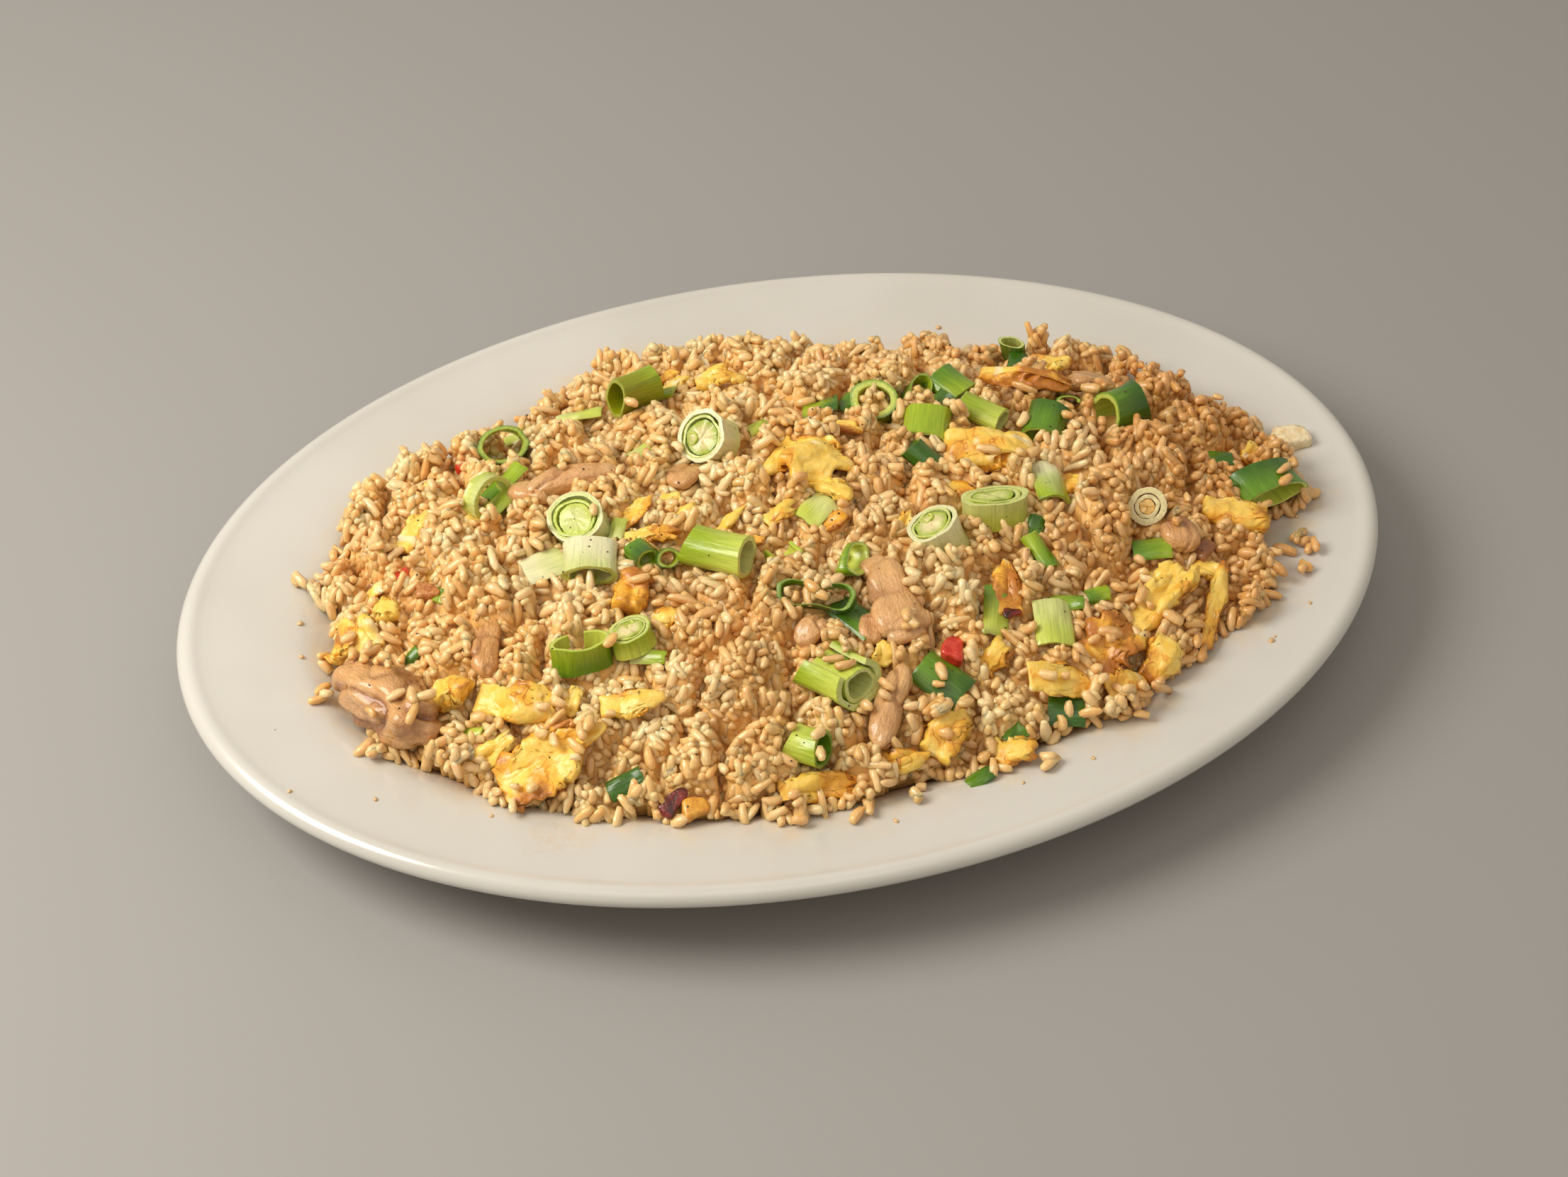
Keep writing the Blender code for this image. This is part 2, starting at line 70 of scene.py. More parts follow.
# Layers of grains: depth under the rice's top, unevenness, share that stands on end, and how
# much of a grain's room others may take up.
LAYERS = [(0.9, 0.4, 0.35, 0.36), (-0.3, 0.6, 0.45, 0.48)]
EDGE_HEIGHT = 2.4             # of the thinnest rice, at the heap's edge
THIN_RICE = 7.0               # where the rice is thinner than this, no grain stands on end
BARE_DEPTH = 1.1              # how far under its layer a place still has room for a grain
OVERLAP = 1.0                 # how far grains may sink into each other before they share room
EDGE_CELLS = 16               # of the heap's border, where even covered grains are kept
SEEN_SHARE = 0.12             # of a grain that shows, or else it is left out
BROWNER_SIDE = (30, 95)        # x from which the rice gets browner, and where it is brownest

# Kinds of grain: share of all, length range, width range, blunt ends (higher is blunter), cut end.
GRAIN_KINDS = {
    "long": (0.07, (6.8, 9.0), (2.3, 2.8), 3.0, False),
    "plump": (0.20, (5.5, 6.9), (2.5, 3.1), 3.4, False),
    "middling": (0.26, (4.3, 5.7), (2.4, 3.0), 3.2, False),
    "short": (0.27, (3.3, 4.5), (2.4, 3.1), 3.0, False),
    "broken": (0.20, (2.4, 3.6), (2.0, 2.8), 2.6, True),
}
GRAIN_SIDES = 6
GRAIN_RINGS = 4
GRAIN_FORMS = 24              # different shapes of each kind

# The platter's section, from the edge inward: inset from the edge, height.
TOP_SECTION = [
    (0.0, 21.4), (0.9, 23.8), (3.6, 25.0), (7.0, 23.7), (19.0, 22.0), (29.0, 20.8),
    (33.0, 19.5), (40.0, 15.0), (47.0, 9.8), (54.0, 7.3), (76.0, 7.0),
]
UNDER_SECTION = [
    (3.0, 18.4), (18.0, 16.6), (30.0, 14.6), (38.0, 10.5), (46.0, 4.6), (51.5, 2.6),
    (53.0, 0.0), (57.0, 0.0), (59.0, 2.2), (80.0, 2.6),
]
PLATE_SEGMENTS = 168
END_TO_SIDE_INSET = 0.85      # a ring's inset at the sides, as a share of its inset at the ends


# ---------------------------------------------------------------- numbers
def seeded(name):
    """A random generator that is the same for the same name on every run."""
    return np.random.default_rng(zlib.crc32(name.encode()))


def seed_of(name, count):
    """A whole number below count, the same for the same name."""
    return zlib.crc32(name.encode()) % count


LATTICE = seeded("lattice").uniform(-1, 1, 4096)
HASH_STEPS = np.array((73856093, 19349663, 83492791))   # large primes, one for each direction
HASH_MIX = 1274126177


def lattice_at(keys):
    """The random numbers from -1 to 1 that belong to whole-number keys."""
    return LATTICE[keys % len(LATTICE)]


def noise_at(points, size, seed=0.0):
    """Smooth noise from about -1 to 1 at points, with lumps about `size` across."""
    where = np.asarray(points, float) / size + seed * 17.31
    cell = np.floor(where).astype(np.int64)
    part = where - cell
    part = part * part * (3 - 2 * part)
    total = np.zeros(where.shape[:-1])
    for corner in itertools.product((0, 1), repeat=where.shape[-1]):
        mixed = (cell + corner) * HASH_STEPS[:where.shape[-1]]
        key = np.bitwise_xor.reduce(mixed, axis=-1)
        key = (key ^ (key >> 13)) * HASH_MIX
        weight = np.prod(np.where(corner, part, 1 - part), axis=-1)
        total += weight * lattice_at(key >> 5)
    return total


def ease(low, high, value):
    """0 up to low, 1 from high, and a smooth rise between."""
    share = np.clip((value - low) / (high - low), 0, 1)
    return share * share * (3 - 2 * share)


# ---------------------------------------------------------------- meshes
def build_mesh(name, points, blocks, attributes=None, sharp=None):
    """A mesh from points in mm and blocks of faces, each block an array with its faces' corners."""
    mesh = bpy.data.meshes.new(name)
    corners = np.concatenate([block.ravel() for block in blocks]).astype(np.int32)
    sides = np.concatenate([np.full(len(block), block.shape[1]) for block in blocks])
    starts = np.concatenate(([0], np.cumsum(sides)[:-1])).astype(np.int32)
    mesh.vertices.add(len(points))
    mesh.vertices.foreach_set("co", (np.asarray(points) * MM).astype(np.float32).ravel())
    mesh.loops.add(len(corners))
    mesh.loops.foreach_set("vertex_index", corners)
    mesh.polygons.add(len(sides))
    mesh.polygons.foreach_set("loop_start", starts)
    mesh.update(calc_edges=True)
    mesh.validate()
    for key, values in (attributes or {}).items():
        values = np.asarray(values, np.float32)
        if key == "tint":
            layer = mesh.attributes.new(key, "FLOAT_COLOR", "POINT")
            whole = np.ones((len(values), 4), np.float32)
            whole[:, :values.shape[1]] = values
            layer.data.foreach_set("color", whole.ravel())
        else:
            layer = mesh.attributes.new(key, "FLOAT_VECTOR", "POINT")
            layer.data.foreach_set("vector", values.ravel())
    mesh.shade_smooth()
    if sharp:
        mesh.set_sharp_from_angle(angle=math.radians(sharp))
    return mesh


def add_bake_map(mesh, places):
    """A texture map that gives each point the place passed in, for baking many small parts."""
    corners = np.empty(len(mesh.loops), dtype=np.int32)
    mesh.loops.foreach_get("vertex_index", corners)
    layer = mesh.uv_layers.new(name="OFBake")
    layer.data.foreach_set("uv", places[corners].ravel())


def add_piece(name, mesh, material, slot, nodes=()):
    """Put a mesh in the dish: it rides with the platter and stands for the CAD nodes named."""
    mesh.materials.append(material)
    piece = bpy.data.objects.new(name, mesh)
    bpy.context.scene.collection.objects.link(piece)
    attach(piece, "root")
    if nodes:
        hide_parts(*nodes)
    return piece


def grid_faces(rows, columns, wrap_rows=False, wrap_columns=False):
    """Quads over a grid of points that is numbered row by row."""
    row_list = np.arange(rows if wrap_rows else rows - 1)
    column_list = np.arange(columns if wrap_columns else columns - 1)
    row, column = [side.ravel() for side in np.meshgrid(row_list, column_list, indexing="ij")]
    after_row = (row + 1) % rows
    after_column = (column + 1) % columns
    return np.stack((
        row * columns + column, after_row * columns + column,
        after_row * columns + after_column, row * columns + after_column,
    ), axis=1)


def ball_faces(rings, sides):
    """Faces over rings of points between two end points, which come first and last."""
    side = np.arange(sides)
    after = (side + 1) % sides
    last = rings * sides + 1
    near = np.stack((np.zeros(sides, int), 1 + after, 1 + side), axis=1)
    far_ring = 1 + (rings - 1) * sides
    far = np.stack((np.full(sides, last), far_ring + side, far_ring + after), axis=1)
    quads = grid_faces(rings, sides, wrap_columns=True)[:, ::-1] + 1
    return [np.concatenate((near, far)), quads]


def add_topping(*piece):
    toppings.append(add_piece(*piece))


def add_look(name, mesh, material):
    """Put in the shaped piece that stands for a topping's CAD solid."""
    add_topping(name + "_look", mesh, material, NODE_SLOTS[name], [name])


class Build:
    """Gathers shapes into one mesh: their points, faces, tints and local coordinates."""

    def __init__(self):
        self.points = []
        self.blocks = []
        self.tints = []
        self.locals = []
        self.count = 0

    def add(self, points, blocks, tint, local):
        self.points.append(points)
        self.blocks += [block + self.count for block in blocks]
        self.tints.append(np.broadcast_to(tint, (len(points), 3)))
        self.locals.append(local)
        self.count += len(points)

    def mesh(self, name, sharp=None):
        layers = {"tint": np.concatenate(self.tints), "local": np.concatenate(self.locals)}
        return build_mesh(name, np.concatenate(self.points), self.blocks, layers, sharp)


def skin_faces(rows, columns):
    """Faces of a closed skin: a top grid, then a bottom grid, joined round their border."""
    top = grid_faces(rows, columns)
    bottom = top[:, ::-1] + rows * columns
    border = [(0, column) for column in range(columns - 1)]
    border += [(row, columns - 1) for row in range(rows - 1)]
    border += [(rows - 1, column) for column in range(columns - 1, 0, -1)]
    border += [(row, 0) for row in range(rows - 1, 0, -1)]
    loop = np.array([row * columns + column for row, column in border])
    after = np.roll(loop, -1)
    below = rows * columns
    rim = np.stack((loop, after, after + below, loop + below), axis=1)
    return [top, bottom, rim]


def surface_normals(grid):
    """Unit normals of a grid of points (rows, columns, 3)."""
    along = np.gradient(grid, axis=0)
    across = np.gradient(grid, axis=1)
    normal = np.cross(along, across)
    return normal / (np.linalg.norm(normal, axis=-1, keepdims=True) + 1e-9)


# ---------------------------------------------------------------- height maps
PLATE_HALF_LENGTH, PLATE_HALF_WIDTH, _ = np.array(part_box("plate")[1]) / MM
MAP_X = np.arange(-PLATE_HALF_LENGTH, PLATE_HALF_LENGTH + CELL, CELL)
MAP_Y = np.arange(-PLATE_HALF_WIDTH, PLATE_HALF_WIDTH + CELL, CELL)
ALL_X, ALL_Y = np.meshgrid(MAP_X, MAP_Y, indexing="ij")
FLAT_POINTS = np.stack((ALL_X, ALL_Y), axis=-1)
NOTHING = -1000.0             # the height where a map shows nothing
BELOW_ALL, OVER_ALL = -50.0, 200.0


def tree_of(meshes):
    """A search tree over meshes whose vertices are in metres, in mm."""
    points, triangles, count = [], [], 0
    for mesh in meshes:
        mesh.calc_loop_triangles()
        flat = np.empty(len(mesh.vertices) * 3, np.float32)
        mesh.vertices.foreach_get("co", flat)
        corners = np.empty(len(mesh.loop_triangles) * 3, np.int32)
        mesh.loop_triangles.foreach_get("vertices", corners)
        points.append(flat.reshape(-1, 3) / MM)
        triangles.append(corners.reshape(-1, 3) + count)
        count += len(mesh.vertices)
    return BVHTree.FromPolygons(np.concatenate(points).tolist(), np.concatenate(triangles).tolist())


def top_of(tree, where, from_below=False):
    """The highest surface, or the lowest, over each cell of the map where `where` is true."""
    heights = np.full(ALL_X.shape, NOTHING)
    start, way = (BELOW_ALL, Vector((0, 0, 1))) if from_below else (OVER_ALL, Vector((0, 0, -1)))
    for i, j in np.argwhere(where):
        hit = tree.ray_cast(Vector((MAP_X[i], MAP_Y[j], start)), way)[0]
        if hit:
            heights[i, j] = hit.z
    return heights


def grown(mask, cells):
    """A mask with its edge moved outward."""
    for _ in range(cells):
        wider = mask.copy()
        wider[1:] |= mask[:-1]
        wider[:-1] |= mask[1:]
        wider[:, 1:] |= mask[:, :-1]
        wider[:, :-1] |= mask[:, 1:]
        mask = wider
    return mask


def filled_in(heights, holes, rounds=200):
    """Heights with the holes filled smoothly from their edges."""
    result = np.where(holes, 0.0, heights)
    left = holes.copy()
    while left.any():
        known = (~left).astype(float)
        total, weight = np.zeros(left.shape), np.zeros(left.shape)
        for shift, axis in ((1, 0), (-1, 0), (1, 1), (-1, 1)):
            total += np.roll(result * known, shift, axis)
            weight += np.roll(known, shift, axis)
        reached = left & (weight > 0)
        result[reached] = total[reached] / weight[reached]
        left &= ~reached
    low_i, low_j = np.argwhere(holes).min(0) - 2
    high_i, high_j = np.argwhere(holes).max(0) + 3
    part = result[low_i:high_i, low_j:high_j]
    gaps = holes[low_i:high_i, low_j:high_j]
    for _ in range(rounds):
        middle = np.roll(part, 1, 0) + np.roll(part, -1, 0) + np.roll(part, 1, 1) + np.roll(part, -1, 1)
        part = np.where(gaps, middle / 4, part)
    result[low_i:high_i, low_j:high_j] = part
    return result


def plate_height(x, y):
    """The glaze's height at a point, from the platter's section."""
    insets = [inset for inset, _ in TOP_SECTION]
    heights = [height for _, height in TOP_SECTION]
    low = np.zeros_like(x)
    high = np.full_like(x, 80.0)
    for _ in range(18):
        middle = (low + high) / 2
        half_length = PLATE_HALF_LENGTH - middle
        half_width = PLATE_HALF_WIDTH - END_TO_SIDE_INSET * middle
        inside = np.hypot(x / half_length, y / half_width) < 1
        low = np.where(inside, middle, low)
        high = np.where(inside, high, middle)
    return np.interp(low, insets, heights)


def cell_of(x, y):
    return int(round((x - MAP_X[0]) / CELL)), int(round((y - MAP_Y[0]) / CELL))


def cells_of(x, y):
    i = np.clip(np.round((x - MAP_X[0]) / CELL).astype(int), 0, len(MAP_X) - 1)
    j = np.clip(np.round((y - MAP_Y[0]) / CELL).astype(int), 0, len(MAP_Y) - 1)
    return i, j


def ragged(mask):
    """A mask with an uneven edge, as loose rice has."""
    widths = (2, 4, 6, 8, 10)
    depth = sum(grown(mask, cells).astype(float) for cells in widths)
    depth -= sum(grown(~mask, cells).astype(float) for cells in widths)
    rough = 2.6 * noise_at(FLAT_POINTS, 11.0, 51.0) + 1.8 * noise_at(FLAT_POINTS, 4.5, 52.0)
    return depth + rough > 0


# Bays in the heap's edge that its solid doesn't have: x, y, radius.
BAYS = [(131, -40, 14), (122, -61, 14)]

glaze = plate_height(ALL_X, ALL_Y)
on_plate = np.hypot(ALL_X / PLATE_HALF_LENGTH, ALL_Y / PLATE_HALF_WIDTH) < 1
heap_box = [np.array(corner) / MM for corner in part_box("rice_heap")]
near_heap = (ALL_X > heap_box[0][0]) & (ALL_X < heap_box[1][0])
near_heap &= (ALL_Y > heap_box[0][1]) & (ALL_Y < heap_box[1][1])
solid_top = top_of(tree_of([frame["nodes"]["rice_heap"].data]), near_heap)
node_top = top_of(tree_of([frame["nodes"][name].data for name in TOPPING_NODES]), near_heap)
on_heap = solid_top > NOTHING
pockets = grown(node_top > NOTHING, POCKET_MARGIN) & near_heap
on_heap |= pockets & grown(on_heap, 6)
for bay_x, bay_y, bay_radius in BAYS:
    on_heap &= np.hypot(ALL_X - bay_x, ALL_Y - bay_y) > bay_radius
on_heap = ragged(on_heap)
heap_top = filled_in(np.where(on_heap, np.maximum(solid_top, glaze), glaze), pockets & on_heap)


def clumped(size, dome, uneven, seed):
    """Rounded clumps with crevices between: each a dome at its own level."""
    warp = np.stack([0.22 * size * noise_at(FLAT_POINTS, 0.6 * size, seed + k) for k in (0.3, 0.6)], -1)
    where = (FLAT_POINTS + warp) / size
    cell = np.floor(where).astype(int)
    nearest = np.full(ALL_X.shape, 9.0)
    second = nearest.copy()
    level = np.zeros(ALL_X.shape)
    for step in itertools.product((-1, 0, 1), repeat=2):
        key = (cell + step) @ np.array((7919, 104729)) + int(31 * seed)
        jitter = np.stack((lattice_at(key), lattice_at(key * 7 + 3)), -1)
        middle = cell + step + 0.5 + 0.42 * jitter
        away = np.linalg.norm(where - middle, axis=-1)
        closer = away < nearest
        second = np.where(closer, nearest, np.minimum(second, away))
        nearest = np.where(closer, away, nearest)
        level = np.where(closer, lattice_at(key * 13 + 5), level)
    crevice = ease(0.0, 0.26, second - nearest)
    return (dome * (1 - 1.5 * nearest ** 2) + uneven * level) * crevice - dome * (1 - crevice)


def heap_relief():
    """The slow swells and the clumps of grains."""
    relief = SWELL * noise_at(FLAT_POINTS, SWELL_SIZE, 2.0) + 0.4 * noise_at(FLAT_POINTS, 3.0, 4.0)
    for index, (size, dome, uneven) in enumerate(CLUMPS):
        relief += clumped(size, dome, uneven, 5.0 + index)
    return relief - 0.5


slope_x, slope_y = np.gradient(heap_top, CELL)


def heap_point(x, y, rise=0.0):
    i, j = cell_of(x, y)
    return np.array((x, y, heap_top[i, j] + rise))


def heap_axes(x, y, turn, pitch=0.0, roll=0.0):
    """Rows are a piece's long, across and up directions when it lies on the rice."""
    i, j = cell_of(x, y)
    reach = 8
    near = (slice(i - reach, i + reach), slice(j - reach, j + reach))
    up = Vector((-slope_x[near].mean(), -slope_y[near].mean(), 1)).normalized()
    heading = Vector((math.cos(math.radians(turn)), math.sin(math.radians(turn)), 0))
    side = up.cross(heading).normalized()
    axes = Matrix((side.cross(up), side, up)).transposed()
    lean = Matrix.Rotation(math.radians(-pitch), 3, "Y") @ Matrix.Rotation(math.radians(roll), 3, "X")
    return np.array((axes @ lean).transposed())


def lay(build, place, turn, form, shift=0.0):
    """Lay points, faces and tint on the rice. The place is x, y and the rise over the rice."""
    shape, faces, tint = form
    x, y, _ = place
    build.add(heap_point(*place) + shape @ heap_axes(x, y, turn), faces, tint, shape + shift)


# Toppings that stick out of the rice a little more than their CAD solids.
RISES = {
    "egg_log": 4.6, "egg_behind": 1.5, "egg_big": 0.8, "egg_puff": 0.6, "chicken_lower": 1.7,
    "chicken_grey": 0.8, "chicken_long": 0.8, "chicken_pink": 0.5, "scallion_double": 1.8,
    "scallion_ring_left": 1.2, "scallion_oval_ring": 1.0,
}


# Toppings whose shape would otherwise come out smaller than the piece, by how much they grow.
SCALES = {
    "egg_big": 1.25, "egg_chunk": 1.2, "egg_right": 1.18, "egg_log": 1.2, "egg_twist": 1.1,
    "egg_sheet": 1.18, "egg_left_chunk": 1.12, "egg_left_low": 1.1, "chicken_lump": (1.12, 1.12, 1.3),
}


def node_frame(name):
    """A topping's middle, its long, across and up directions, and its sizes along them."""
    mesh = frame["nodes"][name].data
    points = np.array([vert.co for vert in mesh.vertices]) / MM
    centred = points - points.mean(0)
    spread, directions = np.linalg.eigh(centred.T @ centred)
    along = directions[:, 2]
    if along[0] < 0:
        along = -along
    up = directions[:, 0]
    if spread[0] > 0.7 * spread[1]:
        up = np.array((0.0, 0.0, 1.0))
    up = up - along * (up @ along)
    up = up / np.linalg.norm(up)
    if up[2] < 0:
        up = -up
    axes = np.array((along, np.cross(up, along), up))
    spans = centred @ axes.T
    middle = points.mean(0) + ((spans.min(0) + spans.max(0)) / 2) @ axes
    return middle + (0, 0, RISES.get(name, 0)), axes, spans.max(0) - spans.min(0)


# ---------------------------------------------------------------- materials
RICE_TAN = (0.86, 0.49, 0.145)
RICE_PALE = (0.90, 0.69, 0.37)
CORE_TAN = (0.87, 0.52, 0.17)
# The brown of sauce, also used as painted shade on grains that sit deep in the gaps.
RICE_SAUCE_AND_SHADE = (0.62, 0.285, 0.055)
EGG_YELLOW = (0.90, 0.57, 0.07)
EGG_PALE = (0.94, 0.70, 0.18)
EGG_WHITE = (0.93, 0.84, 0.56)
EGG_GOLD = (0.84, 0.42, 0.04)
EGG_BROWN = (0.50, 0.175, 0.018)
EGG_BURNT = (0.14, 0.035, 0.01)
CHICKEN_TAN = (0.63, 0.31, 0.095)
CHICKEN_LIGHT = (0.76, 0.44, 0.155)
CHICKEN_PINK = (0.72, 0.345, 0.13)
CHICKEN_PALE = (0.80, 0.58, 0.32)
# The brown of the crust, also used as painted shade in the clefts.
CHICKEN_BROWN_AND_SHADE = (0.33, 0.12, 0.03)
VEIN_LIGHT = (0.85, 0.9, 0.5)
VEIN_DARK = (0.25, 0.42, 0.12)
FLOOR_GREY = (0.34, 0.33, 0.315)
ROOM_WARM = (1.0, 0.90, 0.79)
GLAZE_CREAM = (0.61, 0.595, 0.535)
GLAZE_LIGHT = (0.645, 0.63, 0.575)
OIL_STAIN = (0.72, 0.55, 0.30)
SAUCE_SMEAR = (0.62, 0.36, 0.13)
SPECK_BROWN = (0.16, 0.10, 0.06)
BARE_CLAY = (0.62, 0.56, 0.47)

# The colours of cut leaves, and of the rice inside them, by the words that the tables use.
LEAF = {
    "dark": (0.040, 0.120, 0.006),
    "green": (0.115, 0.250, 0.008),
    "olive": (0.27, 0.29, 0.006),
    "bright": (0.31, 0.43, 0.016),
    "lime": (0.52, 0.60, 0.085),
    "pale": (0.60, 0.64, 0.23),
    "white": (0.76, 0.74, 0.46),
    "cream": (0.80, 0.67, 0.38),
    "rice": RICE_TAN,
}


def new_material(name, **constants):
    """A Principled material; constants go on the shader's own sockets."""
    material = bpy.data.materials.new(name)
    material.use_nodes = True
    tree = material.node_tree
    shader = tree.nodes["Principled BSDF"]
    for key, value in constants.items():
        shader.inputs[key.replace("_", " ")].default_value = value
    return material, tree, shader


def add_node(tree, kind, settings=None, **inputs):
    made = tree.nodes.new(kind)
    for key, value in (settings or {}).items():
        setattr(made, key, value)
    for key, value in inputs.items():
        socket = made.inputs[key.replace("_", " ")]
        if isinstance(value, bpy.types.NodeSocket):
            tree.links.new(value, socket)
        else:
            socket.default_value = value
    return made


def attribute(tree, name):
    return add_node(tree, "ShaderNodeAttribute", {"attribute_name": name})


def local_point(tree, stretch=(1.0, 1.0, 1.0)):
    """The piece's own coordinates in mm, scaled along each direction."""
    mapping = add_node(tree, "ShaderNodeMapping", Vector=attribute(tree, "local").outputs["Vector"])
    mapping.inputs["Scale"].default_value = stretch
    return mapping.outputs["Vector"]


def noise_node(tree, vector, size, detail=2.0, roughness=0.5, distortion=0.0):
    """Noise with lumps about `size` across, in the units of the vector."""
    made = add_node(tree, "ShaderNodeTexNoise", Vector=vector, Scale=1.0 / size, Detail=detail)
    made.inputs["Roughness"].default_value = roughness
    made.inputs["Distortion"].default_value = distortion
    return made.outputs["Fac"]


def mix_colour(tree, share, first, second, blend="MIX"):
    made = tree.nodes.new("ShaderNodeMix")
    made.data_type = "RGBA"
    made.blend_type = blend
    for index, value in ((0, share), (6, first), (7, second)):
        socket = made.inputs[index]
        if isinstance(value, bpy.types.NodeSocket):
            tree.links.new(value, socket)
        elif index:
            socket.default_value = (*value, 1.0)
        else:
            socket.default_value = value
    return made.outputs[2]


def span(tree, value, low, high, out_low=0.0, out_high=1.0):
    """A smooth step of a value from low to high."""
    made = add_node(tree, "ShaderNodeMapRange", {"interpolation_type": "SMOOTHSTEP"}, Value=value)
    for key, number in (("From Min", low), ("From Max", high), ("To Min", out_low), ("To Max", out_high)):
        made.inputs[key].default_value = number
    return made.outputs["Result"]


def maths(tree, operation, first, second=0.0):
    made = tree.nodes.new("ShaderNodeMath")
    made.operation = operation
    for index, value in enumerate((first, second)):
        if isinstance(value, bpy.types.NodeSocket):
            tree.links.new(value, made.inputs[index])
        else:
            made.inputs[index].default_value = value
    return made.outputs[0]


def about_middle(tree, value, scale):
    """A value from 0 to 1 made into one that goes both ways from 0."""
    return maths(tree, "MULTIPLY", maths(tree, "SUBTRACT", value, 0.5), scale)


def bumps(tree, shader, *layers):
    """Bump the surface by (height socket, depth in mm) layers."""
    normal = None
    for height, depth in layers:
        bump = add_node(tree, "ShaderNodeBump", Height=height, Strength=1.0, Distance=depth * MM)
        if normal:
            tree.links.new(normal, bump.inputs["Normal"])
        normal = bump.outputs["Normal"]
    tree.links.new(normal, shader.inputs["Normal"])


def tint_parts(tree):
    """The three numbers of the tint attribute."""
    split = add_node(tree, "ShaderNodeSeparateColor", Color=attribute(tree, "tint").outputs["Color"])
    return split.outputs[0], split.outputs[1], split.outputs[2]


def rice_material():
    """Cooked grains in oil: tint holds paleness, sauce plus painted gap shade, and a random number for
    each grain.
    """
    material, tree, shader = new_material(
        "rice_grain", Roughness=0.3, Subsurface_Weight=0.7, Subsurface_Scale=1.7 * MM,
        Specular_IOR_Level=0.5, Coat_Weight=0.5, Coat_Roughness=0.1,
        Subsurface_Radius=(1.0, 0.72, 0.45),
    )
    pale, sauce_and_shade, spare = tint_parts(tree)
    body = mix_colour(tree, pale, RICE_TAN, RICE_PALE)
    body = mix_colour(tree, sauce_and_shade, body, RICE_SAUCE_AND_SHADE)
    mottle = noise_node(tree, local_point(tree), 1.3, 3.0)
    body = mix_colour(tree, span(tree, mottle, 0.35, 0.75, 0.0, 0.3), body, RICE_PALE)
    tree.links.new(body, shader.inputs["Base Color"])
    gloss = span(tree, spare, 0.0, 1.0, 0.2, 0.4)
    tree.links.new(gloss, shader.inputs["Roughness"])
    bumps(tree, shader, (noise_node(tree, local_point(tree, (1, 2, 2)), 1.1, 2.0), 0.22))
    return material


def core_material():
    """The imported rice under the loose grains."""
    material, tree, shader = new_material(
        "rice_core", Roughness=0.4, Subsurface_Weight=0.3, Subsurface_Scale=1.3 * MM,
        Subsurface_Radius=(1.0, 0.7, 0.4),
    )
    where = local_point(tree, (1.0, 1.5, 1.0))
    cells = add_node(tree, "ShaderNodeTexVoronoi", Vector=where, Scale=1 / 3.2)
    shade = span(tree, noise_node(tree, local_point(tree), 9.0), 0.3, 0.7)
    body = mix_colour(tree, shade, RICE_TAN, CORE_TAN)
    tree.links.new(body, shader.inputs["Base Color"])
    inverse = maths(tree, "SUBTRACT", 1.0, cells.outputs["Distance"])
    bumps(tree, shader, (inverse, 0.8))
    return material


def egg_material():
    """Fried egg: tint holds browning and whiteness. Brown veins wander over the browned pieces."""
    material, tree, shader = new_material(
        "fried_egg", Subsurface_Weight=0.22, Subsurface_Scale=1.0 * MM,
        Subsurface_Radius=(1.0, 0.7, 0.3), Coat_Weight=0.18, Coat_Roughness=0.2,
    )
    brown, white, _ = tint_parts(tree)
    where = local_point(tree)
    patch = noise_node(tree, where, 2.6, 4.0, 0.6, 0.4)
    fine = noise_node(tree, where, 0.7, 3.0, 0.6)
    body = mix_colour(tree, span(tree, patch, 0.3, 0.75), EGG_YELLOW, EGG_PALE)
    body = mix_colour(tree, white, body, EGG_WHITE)
    burn = maths(tree, "ADD", brown, about_middle(tree, patch, 0.7))
    burn = maths(tree, "ADD", burn, about_middle(tree, fine, 0.25))
    wander = maths(tree, "SUBTRACT", noise_node(tree, where, 6.5, 2.0, 0.45, 0.5), 0.5)
    vein = span(tree, maths(tree, "ABSOLUTE", wander), 0.055, 0.0)
    vein = maths(tree, "MULTIPLY", vein, span(tree, brown, 0.2, 0.6, 0.0, 0.92))
    burn = maths(tree, "MAXIMUM", burn, vein)
    body = mix_colour(tree, span(tree, burn, 0.40, 0.68), body, EGG_GOLD)
    body = mix_colour(tree, span(tree, burn, 0.68, 1.0), body, EGG_BROWN)
    body = mix_colour(tree, span(tree, burn, 1.08, 1.3), body, EGG_BURNT)
    tree.links.new(body, shader.inputs["Base Color"])
    tree.links.new(span(tree, fine, 0.3, 0.7, 0.28, 0.46), shader.inputs["Roughness"])
    pores = add_node(tree, "ShaderNodeTexVoronoi", Vector=where, Scale=1 / 1.5)
    bumps(
        tree, shader, (noise_node(tree, where, 1.8, 3.0, 0.5), 0.30),
        (pores.outputs["Distance"], 0.12), (fine, 0.06),
    )
    return material


